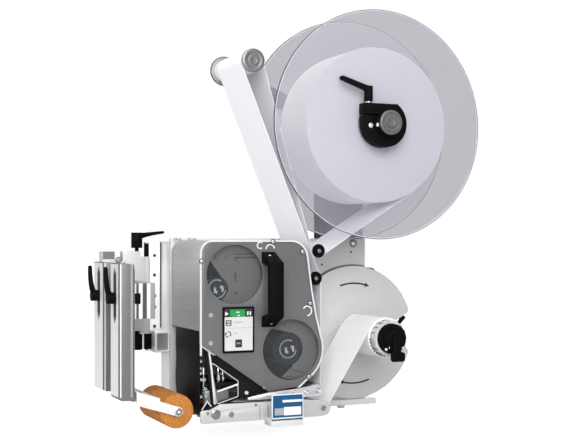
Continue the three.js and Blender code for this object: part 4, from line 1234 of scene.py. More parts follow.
@dataclass
class Assembly(ABC):
    """A sub-assembly, which makes its pieces in the workshop."""

    shop: Workshop

    @abstractmethod
    def build(self) -> None:
        """Makes the sub-assembly's pieces."""


@dataclass
class MachineFrame(Assembly):
    """Base bar, main plate, cabinet, rear cover, side rail and square tube."""

    plate_bolt: Point = (20.9, 308.0)
    washer: Outline = ((-0.2, 2.6), (-0.2, 7.6), (-1.4, 7.6), (-1.4, 2.6))
    small_holes: Outline = ((16.6, 291.5), (-45.0, 268.0))
    small_hole: Outline = ((-0.12, 0.0), (-0.12, 2.0), (0.4, 2.0))
    # Where the band of painted shadow round the rewinder's flange lies.
    flange_shadow: Circle = (18.0, 138.7, 126.6)
    flange_shadow_turn: Span = (79.0, 238.0)
    flange_shadow_width: float = 5.0
    flange_shadow_depth: Span = (-2.6, -0.2)
    rail_x: float = -355.8
    rail_screws: tuple[float, ...] = (286.3, 250.6, 212.5, 192.1, 156.8)
    rail_seam: Box = ((-345.8, -343.0), (56.7, 60.1), (154.0, 310.8))
    shell_marks: tuple[float, ...] = (305.4, 286.1, 250.3, 215.4, 198.9, 186.0)
    shell_mark: Box = ((-0.3, 0.1), (10.0, 15.0), (-1.8, 1.8))
    foot_x: Span = (-280.0, 5.0)
    foot_y: Span = (20.0, 115.0)
    foot_size: Span = (8.0, 8.4)
    top_screws: tuple[float, ...] = (-337.0, -329.0, -311.0, -301.6)
    top_seat: Point = (-10.0, 314.2)
    cover_inset: float = 12.0
    vent_count: int = 9
    vent_inset: Place = (60.0, -0.05, -90.0)
    vent_pitch: float = 8.0
    vent_size: Place = (90.0, 0.5, 3.0)

    def build(self) -> None:
        """Builds and dresses the frame's pieces."""
        f = Finishes
        dress = self.shop.dress
        dress("base_bar", f.ANODISED_PALE, 0.6)
        dress("main_plate", f.POWDER_COAT, 0.5)
        dress("cabinet_shell", f.WHITE_PAINT, 0.5, self._shell_trim())
        dress("rear_cover", f.POWDER_COAT, 0.8)
        dress("support_tube", f.ANODISED_PALE, 1.0)
        dress("side_rail", f.WHITE_PAINT, 0.4, self._rail_trim())
        dress("rewind_motor", f.BLACK_STEEL, 0.6)
        dress("platen_motor", f.BLACK_STEEL, 0.6)
        self._plate_marks()
        self._fasteners()
        self._back()

    def _shell_trim(self) -> list[Part]:
        """Small marks down the cabinet's left face.

        Returns:
            The marks with their finish.
        """
        left = box_of("cabinet_shell")[0][0]
        (x0, x1), y, (z0, z1) = self.shell_mark
        spots = [mark((left + x0, left + x1), y, (z + z0, z + z1)) for z in self.shell_marks]
        return painted(Finishes.ANODISED, *spots)

    def _rail_trim(self) -> list[Part]:
        """Screws down the side rail and the seam beside them.

        Returns:
            The screws and the seam with their finishes.
        """
        parts: list[Part] = []
        for z in self.rail_screws:
            at = (self.rail_x, z)
            parts.append((pin((56.7, 60.2), 3.6, at), Finishes.ZINC))
            parts.append((pin((56.5, 60.3), 2.3, at), Finishes.MARK_BLACK))
        return [*parts, (mark(*self.rail_seam), Finishes.SLOT_SHADE)]

    def _plate_marks(self) -> None:
        """The bolt's washer, a band of painted shadow round the rewinder's flange and two small holes."""
        washer = lathe(self.washer, self.plate_bolt, sides=32, edge=0.2)
        # A band of painted shadow on the plate round the top of the rewinder's flange.
        x, z, radius = self.flange_shadow
        flange_shadow = band(arc((x, z), radius, *self.flange_shadow_turn, 60), self.flange_shadow_width, self.flange_shadow_depth)
        holes = [lathe(self.small_hole, at, sides=20) for at in self.small_holes]
        parts = [(washer, Finishes.DULL_STEEL), (flange_shadow, Finishes.ANODISED_SHADED)]
        parts += painted(Finishes.MARK_BLACK, *holes)
        self.shop.piece("plate_marks", parts, "main_plate")

    def _fasteners(self) -> None:
        """The plate's bolt, the bolts under the base and the screws on the housing's top."""
        f = Finishes
        screws = self.shop.screws
        x, z = self.plate_bolt
        bolt = [(x, self.washer[-1][0], z)]
        screws("plate_bolt", bolt, "main_plate", 4.2, 2.4, f.ANODISED)
        feet = [(x, y, 0.0) for x in self.foot_x for y in self.foot_y]
        screws("base_bolts", feet, "base_bar", *self.foot_size, f.ANODISED_PALE, Facing.DOWN)
        tops = [(x, *self.top_seat) for x in self.top_screws]
        screws("housing_top_screws", tops, "module_housing", 2.6, 4.2, facing=Facing.UP)

    def _back(self) -> None:
        """Screws and vents of the rear cover."""
        (x0, x1), (_, y), (z0, z1) = box_of("rear_cover")
        inset = self.cover_inset
        columns = (x0 + inset, (x0 + x1) / 2, x1 - inset)
        places = [(x, y, z) for x in columns for z in (z0 + inset, z1 - inset)]
        self.shop.screws("rear_cover_screws", places, "rear_cover", facing=Facing.BACK)
        values = {
            "Count": self.vent_count,
            "Start": (Vector((x0, y, z1)) + Vector(self.vent_inset)) * MM,
            "Step": Vector((0.0, 0.0, self.vent_pitch)) * MM,
            "Size": Vector(self.vent_size) * MM,
        }
        slots = row_tree().run(None, Finishes.MARK_BLACK, values)
        self.shop.piece("rear_vents", [(slots, Finishes.MARK_BLACK)], "rear_cover")


@dataclass
class SupplyReel(Assembly):
    """Mast, arm, bearing and the reel with its two clear discs, roll and clamp."""

    z: float = 521.0
    disc_radius: float = 205.0
    disc_edge: Span = (2.4, 1.3)
    rear_disc: Span = (-22.7, -19.7)
    rear_bore: float = 11.4
    front_disc: Span = (-150.0, -147.0)
    disc_gap: float = 0.4
    roll_radius: float = 139.3
    roll: Span = (-139.6, -23.1)
    roll_skin: float = 0.15
    mandrel_radius: float = 38.3
    nose_radius: float = 21.8
    nose: Span = (-194.0, -146.7)
    neck_radius: float = 17.6
    neck_front: float = -172.2
    shaft: Outline = (
        (-23.2, 38.0),
        (-23.2, 11.0),
        (-19.4, 11.0),
        (-19.4, 22.0),
        (-15.4, 22.0),
        (-15.4, 11.0),
        (36.0, 11.0),
        (36.6, 0.0),
    )
    set_screw: Point = (-181.0, 517.0)
    clamp_screw: Place = (-29.7, -172.0, 516.5)
    lever_collar: Outline = ((556.6, 5.6), (560.2, 5.6))
    lever_at: Point = (-29.0, -161.15)
    channel_lines: tuple[Span, ...] = ((-57.9, -53.4), (-49.9, -46.9), (-37.3, -35.6))
    channel_depth: Span = (5.9, 6.5)
    channel_height: Span = (318.0, 512.0)

    def build(self) -> None:
        """Builds and dresses the reel's pieces."""
        f = Finishes
        self.shop.dress("mast", f.BRUSHED_Z, 0.5, self._channel())
        self.shop.dress("roller_arm", f.ANODISED_SHADED, 0.5)
        self.shop.dress("reel_bearing", f.DULL_STEEL, 0.6)
        self._disc("rear_reel_disc", self.rear_disc, self.rear_bore)
        self._disc("front_reel_disc", self.front_disc, self.nose_radius + self.disc_gap)
        self._roll()
        self._shaft()
        self._clamp()

    @property
    def centre(self) -> Point:
        """Where the reel's axis stands."""
        return (0.0, self.z)

    def _channel(self) -> list[Part]:
        """The dark channel that runs up the mast's left side, and the lines beside it."""
        lines = [mark(x, self.channel_depth, self.channel_height) for x in self.channel_lines]
        return painted(Finishes.MARK_BLACK, *lines)

    def _disc(self, node: str, span: Span, bore: float) -> None:
        """A clear disc with a ring of painted highlight inside its edge and a dark rim of painted shade.

        Args:
            node: The node it stands for.
            span: Its front and back.
            bore: Its bore's radius.
        """
        radii = [bore, *(self.disc_radius - width for width in self.disc_edge), self.disc_radius]
        finishes = (Finishes.ACRYLIC, Finishes.ACRYLIC_HIGHLIGHT, Finishes.ACRYLIC_RIM_SHADE)
        parts = [
            (ring(span, pair, self.centre, 160), finish)
            for pair, finish in zip(zip(radii, radii[1:]), finishes)
        ]
        self.shop.stand_in(node, "clear", parts)

    def _roll(self) -> None:
        """The roll of labels: a smooth face outside and fine rings on its sides."""
        y0, y1 = self.roll
        r, bore = self.roll_radius, self.mandrel_radius
        rounding = [(0.6, bore), (0.0, bore + 0.6), (0.0, r - 1.2), (0.3, r - 0.4), (1.2, r)]
        front = [(y0 + depth, radius) for depth, radius in rounding]
        back = [(y1 - depth, radius) for depth, radius in reversed(rounding)]
        roll = lathe([*front, *back, front[0]], self.centre, sides=144)
        inner, outer = r - 0.3, r + self.roll_skin
        profile = [(y0 + 1.4, inner), (y0 + 1.4, outer), (y1 - 1.4, outer), (y1 - 1.4, inner)]
        skin = lathe(profile, self.centre, sides=144)
        parts = [(roll, Finishes.ROLL_SIDE), (skin, Finishes.LINER)]
        self.shop.stand_in("label_roll", "wound", parts)

    def _shaft(self) -> None:
        """The shaft with its mandrel, and the turned nose in front of the clamp."""
        at = self.centre
        front, back = self.nose
        r = self.nose_radius
        rings = [(1.4, 0.0), (1.4, 7.0), (0.0, 7.6), (0.0, 9.4), (1.8, 10.0), (1.8, 15.0)]
        rings += [(0.0, 15.6), (0.0, r - 1.6), (1.6, r), (4.0, r), (4.0, 0.0)]
        cap = lathe([(front + depth, radius) for depth, radius in rings], at, sides=64, edge=0.25)
        neck = [(front + 4.0, 0.0), (front + 4.0, r - 0.6), (self.neck_front, r - 0.6)]
        neck += [(self.neck_front, self.neck_radius), (back, self.neck_radius), (back, 0.0)]
        body = lathe(neck, at, sides=64)
        profile = [(back, 0.0), (back, self.shaft[0][1]), *self.shaft]
        shaft = lathe(profile, at, sides=64, edge=0.25)
        # Rings of painted shade in the nose's grooves.
        grooves = [
            ring((front + depth, front + depth + 1.0), (radius, radius + 0.9), at)
            for depth, radius in ((1.2, 9.4), (-0.2, 16.6), (0.4, r - 1.7))
        ]
        head = [(-r - 0.8, 0.0), (-r - 0.8, 3.2), (-r + 2.0, 3.6)]
        screw = lathe(head, self.set_screw, Axis.X, 24, 0.3)
        parts = [
            (cap, Finishes.DULL_STEEL),
            (body, Finishes.BLACK_STEEL),
            *painted(Finishes.SLOT_SHADE, *grooves),
            (shaft, Finishes.DULL_STEEL),
            (screw, Finishes.ANODISED_PALE),
        ]
        self.shop.stand_in("reel_shaft", "turned", parts)

    def _clamp(self) -> None:
        """The black clamp block with its screw, and its lever."""
        f = Finishes
        node = "reel_clamp_block"
        self.shop.dress(node, f.NYLON, 0.8)
        self.shop.screws("reel_clamp_screws", [self.clamp_screw], node, 4.6, 1.6, f.ANODISED)
        collar = lathe(self.lever_collar, self.lever_at, Axis.Z, 32, 0.4)
        self.shop.dress("reel_clamp_lever", f.NYLON, 1.2, [(collar, f.POLISHED)])


@dataclass
class WebRollers(Assembly):
    """The rollers that the web runs over, and the web itself."""

    web_front: float = -139.6
    web_back: float = -23.1
    web_thick: float = 0.6
    roll_gap: float = 0.7
    wrap_step: float = 0.12
    top: Circle = (-241.8, 621.7, 19.0)
    top_cap: float = 9.0
    upper: Circle = (-116.8, 295.6, 10.0)
    lower: Circle = (-122.8, 247.6, 10.0)
    guide_cap: float = 5.0
    upper_end: Circle = (-125.5, 53.5, 11.7)
    lower_end: Circle = (-113.8, 22.0, 12.0)
    platen: Circle = (-314.0, 24.0, 14.0)
    end_tube: Span = (-148.4, -5.6)
    reel: Circle = (0.0, 521.0, 139.3)
    rewinder: Circle = (18.0, 138.7, 36.0)
    journal: Span = (-0.8, 10.0)
    journal_radius: float = 4.0

    def build(self) -> None:
        """Builds the rollers and the web."""
        f = Finishes
        self._top_roller()
        self._guide("guide_roller_upper", self.upper)
        self._guide("guide_roller_lower", self.lower)
        self._end_roller("upper_end_roller", self.upper_end, f.POLISHED)
        self._end_roller("lower_end_roller", self.lower_end, f.POLISHED)
        self._end_roller("platen_roller", self.platen, f.RUBBER)
        label = [(self.reel, -1), (self.upper, -1), (self.top, 1), (self.lower, -1)]
        label += [(self.upper_end, -1), (self.platen, 1)]
        self._web("label_web", label, f.PAPER)
        backing = [(self.platen, 1), (self.lower_end, 1), (self.rewinder, -1)]
        self._web("backing_web", backing, f.LINER)

    def _top_roller(self) -> None:
        """The roller at the arm's end: grey ringed cap, white sleeve, a black ring of painted shade at the
        web's edge, and a flange at the back in painted shade with dark lips of painted shade.
        """
        f = Finishes
        x, z, r = self.top
        at = (x, z)
        front, back = self.web_front - self.top_cap, self.journal[0]
        sleeve = pin((front + 2.2, back), r + 0.6, at, 64, 0.4)
        flange = lathe([(-3.4, r), (-3.4, 26.0), (-0.6, 26.4), (-0.6, r)], at, sides=64, edge=0.4)
        lips = [ring((y, y + 0.5), (25.0, 26.5), at) for y in (-3.7, -0.9)]
        rings = [(0.6, 0.0), (0.6, 5.6), (0.0, 6.2), (0.0, 8.0), (1.2, 8.6), (1.2, 12.6), (0.5, 13.2)]
        rings += [(0.0, r - 1.6), (0.8, r + 1.0), (3.2, r + 1.0), (3.2, r)]
        cap = lathe([(front + depth, radius) for depth, radius in rings], at, sides=64, edge=0.15)
        groove = pin((front + 3.4, front + 4.8), r + 0.8, at, 64)
        # A black ring of painted shade in the gap at the web's front edge.
        edge = pin((self.web_front - 2.0, self.web_front - 0.2), r + 0.9, at, 64)
        parts = [
            *painted(f.NYLON, groove, edge),
            *painted(f.SLOT_SHADE, *lips),
            (sleeve, f.PAPER),
            (flange, f.ANODISED_HALF_SHADED),
            (cap, f.DULL_STEEL),
            (pin(self.journal, self.journal_radius, at, 24, 0.3), f.POLISHED),
        ]
        self.shop.stand_in("top_roller", "turned", parts)

    def _guide(self, node: str, place: Circle) -> None:
        """A slim roller with black caps and a bright screw in the front one.

        Args:
            node: The node it stands for.
            place: Its axis and radius.
        """
        f = Finishes
        x, z, r = place
        at = (x, z)
        web_front, front = self.web_front, self.web_front - self.guide_cap
        rim, lip = web_front - 1.9, r + 2.0
        profile = [(front + 0.6, 0.0), (front + 0.6, 5.4), (front + 1.2, 6.0), (rim, 6.4)]
        profile += [(rim, r + 1.6), (rim + 0.4, lip), (web_front - 0.2, lip), (web_front, r)]
        stand = Matrix.Translation((x, front + 0.7, z)) @ Matrix.Rotation(math.pi / 2, 4, "X")
        parts = [
            (pin((web_front, self.web_back), r, at, 48), f.ANODISED_PALE),
            (lathe(profile, at), f.NYLON),
            (pin((self.web_back + 0.4, self.journal[0]), lip, at, 48, 0.3), f.NYLON),
            (pin(self.journal, self.journal_radius, at, 24, 0.3), f.POLISHED),
            (screw_head(3.6, 1.6, 1.6).moved(stand), f.ZINC),
        ]
        self.shop.stand_in(node, "turned", parts)

    def _end_roller(self, node: str, place: Circle, finish: Finish) -> None:
        """A roller between the plate and an arm, with its journals.

        Args:
            node: The node it stands for.
            place: Its axis and radius.
            finish: The finish of its tube.
        """
        x, z, r = place
        tube = pin(self.end_tube, r, (x, z), 48, 0.6)
        journal = pin(box_of(node)[1], self.journal_radius, (x, z), 24, 0.4)
        parts = [(tube, finish), (journal, Finishes.POLISHED)]
        self.shop.stand_in(node, "turned", parts)

    def _route(self, circles: Sequence[tuple[Circle, int]]) -> list[Vector]:
        """The middle of a web that wraps circles in turn.

        Args:
            circles: Each circle's centre and radius, and 1 for an anticlockwise turn or -1.

        Returns:
            Points of the route in millimetres.
        """
        discs = [(Vector((c[0], c[1])), c[2] + self.roll_gap, turn) for c, turn in circles]

        def touch(disc: tuple[Vector, float, int], heading: float) -> Vector:
            """The place on a circle that the web passes with a heading."""
            centre, radius, turn = disc
            return centre + turn * radius * Vector((math.sin(heading), -math.cos(heading)))

        headings = []
        for a, b in zip(discs, discs[1:]):
            run = b[0] - a[0]
            offset = b[2] * b[1] - a[2] * a[1]
            headings.append(math.atan2(run.y, run.x) - math.asin(offset / run.length))
        route = [touch(discs[0], headings[0])]
        for i, heading in enumerate(headings):
            disc = discs[i + 1]
            route.append(touch(disc, heading))
            if i + 1 == len(headings):
                break
            swing = headings[i + 1] - heading
            while swing * disc[2] < 0:
                swing += 2 * math.pi * disc[2]
            steps = max(3, math.ceil(abs(swing) / self.wrap_step))
            route += [touch(disc, heading + swing * k / steps) for k in range(1, steps + 1)]
        middle = (self.web_front + self.web_back) / 2
        return [Vector((p.x, middle, p.y)) for p in route]

    def _web(self, node: str, circles: Sequence[tuple[Circle, int]], finish: Finish) -> None:
        """A web along its route, made by the web tree.

        Args:
            node: The node it stands for.
            circles: What it wraps.
            finish: Its finish.
        """
        line = Shape(self._route(circles), [()])
        width = self.web_back - self.web_front
        values = {"Width": width * MM, "Thickness": self.web_thick * MM}
        mesh = web_tree().run(line, finish, values)
        self.shop.stand_in(node, "paper", [(mesh, finish)])


@dataclass
class Rewinder(Assembly):
    """The liner rewinder: flange with its arrows, ribbed drum, roll, knob and lever."""

    centre: Point = (18.0, 138.7)
    flange_front: float = -8.0
    arrow_radius: float = 93.5
    arrow_sweep: float = 33.0
    arrow_head: float = 6.0
    stop_rod: tuple[Place, Place] = ((52.0, -3.0, 256.0), (121.0, -3.0, 161.0))
    stop_corner: Outline = (
        (45.5, 257.0),
        (46.5, 262.6),
        (60.0, 261.0),
        (66.5, 256.5),
        (64.0, 252.5),
    )
    stop_foot: tuple[Point, Point] = ((130.0, 166.0), (115.0, 150.5))
    drum_radius: float = 32.6
    drum: Span = (-156.0, -8.3)
    drum_wall: float = 4.0
    drum_shaft: tuple[float, float] = (37.0, 6.0)
    rib_count: int = 16
    line_front: float = -140.2
    line_angles: tuple[float, ...] = (122.0, 141.0, 160.0, 179.0, 198.0, 217.0, 236.0)
    dark_line: float = 160.0
    roll_radius: float = 36.0
    roll: Span = (-139.6, -23.1)
    knob_front: float = -174.0
    knob_radius: float = 23.5
    collar: Span = (-168.0, -156.3)
    collar_radius: float = 26.2
    tooth_count: int = 44
    glints: tuple[float, ...] = (5.2, 24.0)
    glint_height: Span = (122.0, 125.4)
    knob_screws: Outline = ((2.6, 120.6), (35.4, 123.4))

    def build(self) -> None:
        """Builds the rewinder's pieces."""
        f = Finishes
        arrows = [self._arrow(self.arrow_radius, 108.0), self._arrow(self.arrow_radius + 3.0, 290.0)]
        self.shop.dress("rewind_flange", f.SATIN, 0.4, painted(f.MARK_BLACK, *arrows))
        stop = rod(Vector(self.stop_rod[0]), Vector(self.stop_rod[1]), 1.4)
        upper = prism(self.stop_corner, (-5.6, -1.4))
        lower = band(self.stop_foot, 7.0, (-6.0, -1.4))
        self.shop.piece("rewind_stop", painted(f.NYLON, stop, upper, lower), "main_plate")
        self._drum()
        self._roll()
        self._knob()
        self.shop.dress("rewind_lever", f.NYLON, 0.9)
        places = [(x, self.collar[0], z) for x, z in self.knob_screws]
        self.shop.screws("knob_screws", places, "rewind_knob", 2.6, 1.8, f.WHITE_PAINT)

    def _arrow(self, r: float, start: float) -> Shape:
        """A curved arrow on the flange.

        Args:
            r: Its radius about the flange's centre.
            start: The angle in degrees that it starts at, to go clockwise.

        Returns:
            The arrow.
        """
        end = start - self.arrow_sweep
        inner = arc(self.centre, r - 1.5, start, end, 10)
        outer = arc(self.centre, r + 1.5, end, start, 10)
        tip = on_circle(self.centre, r, end - self.arrow_head)
        barbs = [on_circle(self.centre, r + reach, end) for reach in (-4.2, 4.2)]
        y = self.flange_front
        return decal([*inner, barbs[0], tip, barbs[1], *outer], (y - 0.25, y + 0.2))

    def _drum(self) -> None:
        """The clear ribbed drum, cut by two grooves near its front, with dashes and lines of painted shade.
        """
        f = Finishes
        at = self.centre
        y0, y1 = self.drum
        r = self.drum_radius - 1.6
        bore = r - self.drum_wall
        profile = [(y0, bore), (y0, r), (y0 + 9.0, r), (y0 + 9.4, r - 1.2), (y0 + 10.6, r - 1.2)]
        profile += [(y0 + 11.0, r), (y1, r), (y1, bore), (y0, bore)]
        back, shaft_radius = self.drum_shaft
        web = [(y1 - 6.0, shaft_radius), (y1 - 6.0, r - 3.0), (y1, r - 3.0), (y1, shaft_radius)]
        middle = Vector((at[0], (y0 + y1) / 2, at[1]))
        values = {
            "Count": self.rib_count,
            "Radius": (self.drum_radius - 1.3) * MM,
            "Size": Vector((2.6, 5.4, y1 - y0)) * MM,
            "Centre": middle * MM,
        }
        parts = [
            (lathe(profile, at, sides=64), f.CLEAR_DRUM),
            (lathe(web, at, sides=32), f.CLEAR_DRUM),
            (ribs_tree().run(None, f.CLEAR_DRUM, values), f.CLEAR_DRUM),
            (pin((y0, back), shaft_radius, at, 32, 0.3), f.POLISHED),
        ]
        # Dashes of painted shade round the drum's front, and lines of painted shade along it.
        for turn in range(180, 262, 10):
            dash = arc(at, r + 2.6, turn, turn + 6.0, 2)
            parts.append((band(dash, 2.0, (-140.6, -139.9)), f.SLOT_SHADE))
        for turn in self.line_angles:
            finish = f.SLOT_SHADE if turn == self.dark_line else f.ANODISED_HALF_SHADED
            line = pin((y0 + 1.0, self.line_front), 0.7, on_circle(at, r + 1.3, turn), 8)
            parts.append((line, finish))
        self.shop.piece("rewind_drum_ribbed", parts, "rewind_mandrel", ("rewind_mandrel",))

    def _roll(self) -> None:
        """The liner wound on the drum."""
        y0, y1 = self.roll
        r = self.roll_radius
        bore = self.drum_radius + 0.3
        profile = [(y0, bore), (y0, r - 0.6), (y0 + 0.6, r), (y1 - 0.6, r), (y1, r - 0.6)]
        profile += [(y1, bore), (y0, bore)]
        roll = lathe(profile, self.centre, sides=96)
        self.shop.stand_in("liner_roll", "wound", [(roll, Finishes.LINER_SIDE)])

    def _knob(self) -> None:
        """The black knob with its ringed face and two painted highlights, and the toothed collar behind it.
        """
        f = Finishes
        at = self.centre
        y0 = self.knob_front
        r, edge = self.knob_radius, self.collar_radius
        c0, c1 = self.collar
        profile = [(y0 - 5.1, 0.0), (y0 - 5.1, 4.0), (y0, 4.0), (y0, r - 6.5), (y0 + 1.6, r - 5.5)]
        profile += [(y0 + 1.6, r - 4.0), (y0, r - 3.4), (y0 + 1.4, r - 2.2), (c0, r - 2.2)]
        profile += [(c0, edge - 1.6), (c0 + 0.8, edge - 0.8), (c1, edge - 0.8), (c1, 5.0)]
        middle = Vector((at[0], (c0 + c1) / 2 + 0.4, at[1]))
        values = {
            "Count": self.tooth_count,
            "Radius": (edge - 0.7) * MM,
            "Size": Vector((2.2, 1.7, c1 - c0 - 1.4)) * MM,
            "Centre": middle * MM,
        }
        # Two small painted highlights on the knob's face.
        glints = [mark((x, x + 1.2), (y0 - 0.25, y0 + 0.1), self.glint_height) for x in self.glints]
        parts = [
            (lathe(profile, at, sides=72, edge=0.3), f.NYLON),
            (ribs_tree().run(None, f.NYLON, values), f.NYLON),
            *painted(f.MARK_WHITE, *glints),
        ]
        self.shop.stand_in("rewind_knob", "moulded", parts)


@dataclass
class PrintModule(Assembly):
    """The print module: housing, cover, windows, display, handle, spools and ribbon."""

    front: float = -157.0
    left: float = -338.5
    right: float = -151.0
    top: float = 311.0
    rim_bottom: float = 121.7
    rim_offset: float = 2.0
    rim_above: float = 200.0
    toe: Point = (-163.5, 62.3)
    upper: Circle = (-279.7, 256.6, 50.0)
    lower: Circle = (-176.4, 125.9, 52.0)
    display: tuple[float, float, float, float] = (-301.7, -245.6, 124.7, 201.7)
    screws: Outline = (
        (-338.9, 279.6),
        (-210.5, 311.9),
        (-154.9, 294.6),
        (-140.7, 205.0),
        (-142.9, 78.0),
    )
    clips: tuple[tuple[Point, float, float, float], ...] = (
        ((-234.1, 305.7), 5.4, 50.0, 310.0),
        ((-215.6, 299.1), 7.8, 10.0, 180.0),
        ((-146.4, 192.1), 8.2, 150.0, -90.0),
    )
    handle_screws: tuple[Place, ...] = ((-221.5, -171.0, 287.4), (-219.1, -171.0, 174.3))
    plugs: Outline = ((-322.8, 142.0), (-322.8, 189.0))
    plug: Outline = ((-157.6, 0.0), (-157.6, 3.4), (-156.8, 4.0))
    supply: Circle = (-306.7, 232.2, 20.0)
    takeup: Circle = (-176.3, 126.0, 28.0)
    hub_front: float = -143.0
    film: Span = (-139.6, -27.2)
    ribbon_depth: Span = (-139.0, -27.0)
    ribbon_runs: tuple[Outline, ...] = (
        ((-292.0, 246.6), (-322.6, 286.0)),
        ((-326.7, 232.0), (-327.5, 205.0), (-327.5, 172.0)),
        ((-176.0, 97.6), (-216.0, 84.0)),
        ((-152.0, 109.6), (-140.5, 84.0)),
    )
    lining_depth: Span = (-140.9, -140.2)
    lining_ink: Span = (-141.1, -140.8)
    upper_lining_left: Outline = ((-326.0, 296.0), (-318.6, 279.7))
    upper_lining_right: Outline = (
        (-300.0, 203.0),
        (-226.0, 203.0),
        (-226.0, 309.0),
        (-326.0, 309.0),
    )
    lower_lining_left: Outline = ((-230.0, 165.9), (-204.8, 161.7), (-178.0, 156.0))
    lower_lining_right: Outline = (
        (-167.2, 94.9),
        (-187.4, 77.7),
        (-160.0, 72.0),
        (-126.0, 76.0),
        (-118.0, 120.0),
        (-133.0, 182.0),
        (-230.0, 182.0),
    )
    lining_bars: tuple[tuple[Span, Span], ...] = (
        ((-276.6, -235.5), (290.0, 292.0)),
        ((-274.0, -232.0), (283.5, 286.0)),
        ((-274.5, -271.0), (245.0, 259.0)),
    )
    lining_strokes: tuple[tuple[Point, Point], ...] = (
        ((-170.0, 90.8), (-143.0, 82.0)),
        ((-179.4, 79.0), (-158.0, 75.0)),
    )
    lining_dots: Outline = ((-308.6, 285.0), (-290.6, 284.7), (-272.7, 281.5), (-272.0, 224.5))

    def outline(self) -> list[Place]:
        """The cover's corners from its low left corner over the top to its toe.

        Returns:
            Each corner's place and how far it is rounded.
        """
        x, z, _ = self.lower
        bulge = [(*p, 0.0) for p in arc((x, z), 57.5, 14, -58, 10)]
        return [
            (self.left, 139.8, 6.0),
            (self.left, self.top, 18.0),
            (self.right, self.top, 28.0),
            (-139.9, 227.6, 0.0),
            (-131.0, 180.0, 18.0),
            *bulge,
            (*self.toe, 0.0),
            (-218.5, 56.2, 6.0),
        ]

    def build(self) -> None:
        """Builds the module's pieces."""
        f = Finishes
        plugs = [lathe(self.plug, at, sides=24) for at in self.plugs]
        self.shop.dress("module_housing", f.BRUSHED_Y, 0.3)
        self.shop.dress("side_guard", f.BLACK_STEEL, 0.3)
        self.shop.dress("cassette_cover", f.SMOKED, 0.6, painted(f.SCREEN_GREY, *plugs))
        self.shop.dress("cassette_frame", f.ANODISED, 0.4)
        self.shop.dress("cover_handle", f.NYLON, 1.0)
        self._rim()
        self._fasteners()
        self._window("upper_window", self.upper)
        self._window("lower_window", self.lower)
        self._display()
        self._spool("ribbon_supply_spool", self.supply)
        self._spool("ribbon_takeup_spool", self.takeup)
        runs = [band(run, 0.5, self.ribbon_depth) for run in self.ribbon_runs]
        self.shop.piece("ribbon_runs", painted(f.RIBBON, *runs), "cassette_frame")
        self._lining()

    def _rim(self) -> None:
        """The housing's front edge round the cover, from its left side to its toe, drawn pale as painted
        highlight.
        """
        corners = rounded(self.outline())
        start = next(i for i, p in enumerate(corners) if p[1] > self.rim_above)
        end = next(i for i, p in enumerate(corners) if i > start and p == self.toe)
        path = [Vector(p) for p in ((self.left, self.rim_bottom), *corners[start : end + 1])]
        outwards = []
        for i, p in enumerate(path):
            run = (path[min(i + 1, len(path) - 1)] - path[max(i - 1, 0)]).normalized()
            outwards.append(tuple(p + Vector((-run.y, run.x)) * self.rim_offset))
        rim = band(outwards, 2.8, (self.front - 1.2, self.front + 1.2))
        self.shop.piece("housing_rim", [(rim, Finishes.ANODISED_PALE)], "module_housing")

    def _fasteners(self) -> None:
        """The cover's screws with rings of painted shade round them, the clips round its edge and the
        screws of the handle.
        """
        f = Finishes
        y = self.front - 0.6
        cover = "cassette_cover"
        places = [(x, y, z) for x, z in self.screws]
        self.shop.screws("cover_screws", places, cover, 3.2, 2.2, f.ANODISED)
        # Dark rings of painted shade round the cover's screws.
        screw_shades = [pin((y - 0.8, y + 0.4), 4.6, at, 28) for at in self.screws]
        self.shop.piece("cover_washers", painted(f.SLOT_SHADE, *screw_shades), cover)
        clips = [band(arc(*clip, 14), 1.8, (y - 1.0, y + 0.6)) for clip in self.clips]
        self.shop.piece("cover_clips", painted(f.SIGN_WHITE, *clips), cover)
        feet = self.handle_screws
        self.shop.screws("handle_screws", feet, "cover_handle", 2.6, 1.2, f.ANODISED)

    def _window(self, node: str, place: Circle) -> None:
        """A round pane.

        Args:
            node: The node it stands for.
            place: Its centre and radius.
        """
        x, z, r = place
        y0, y1 = self.front + 0.8, self.front + 3.2
        profile = [(y0, 0.0), (y0, r - 0.4), (y0 + 0.4, r), (y1, r), (y1, 0.0)]
        pane = lathe(profile, (x, z), sides=96)
        self.shop.stand_in(node, "pane", [(pane, Finishes.WINDOW)])

    def _display(self) -> None:
        """The display: black frame, header with its signs, and a pale screen with icons."""
        f = Finishes
        x0, x1, z0, z1 = self.display
        y = self.front - 3.0
        glass = y + 0.75
        face, ink, over = (glass - 0.25, glass + 0.4), (glass - 0.45, glass), (glass - 0.65, glass - 0.35)
        wide = (x0 + 2.6, x1 - 2.8)
        outline = rounded_box((x0, x1), (z0, z1), 2.5)
        hole = rounded_box((x0 + 2.4, x1 - 2.6), (z0 + 3.4, z1 - 2.2), 0.6)
        play = [(x0 + 3.6, z1 - 14.2), (x0 + 3.6, z1 - 7.2), (x0 + 10.0, z1 - 11.2)]
        head = [(x0 + 25.4, z1 - 13.4), (x0 + 30.2, z1 - 13.4), (x0 + 27.8, z1 - 15.6)]
        signs = [
            decal(play, ink),
            *[mark((x, x + 2.4), ink, (z1 - 14.0, z1 - 7.4)) for x in (x1 - 13.0, x1 - 8.4)],
            mark((x0 + 23.0, x0 + 29.0), over, (z1 - 9.4, z1 - 7.8)),
            decal(head, over),
        ]
        parts: list[Part] = [
            (prism(outline, (y, y + 2.0), holes=[hole]), f.NYLON),
            (decal(outline, (y + 1.0, y + 24.0)), f.NYLON),
            (mark(wide, face, (z0 + 3.6, z1 - 16.6)), f.SCREEN),
            (mark(wide, face, (z1 - 16.4, z1 - 2.4)), f.SCREEN_DARK),
            (mark((x0 + 12.4, x1 - 16.6), ink, (z1 - 16.0, z1 - 4.2)), f.SCREEN_GREEN),
            *painted(f.MARK_WHITE, *signs),
            *self._icons(x0, z0, ink, over),
        ]
        self.shop.piece("display_lit", parts, "display_unit", ("display_unit",))

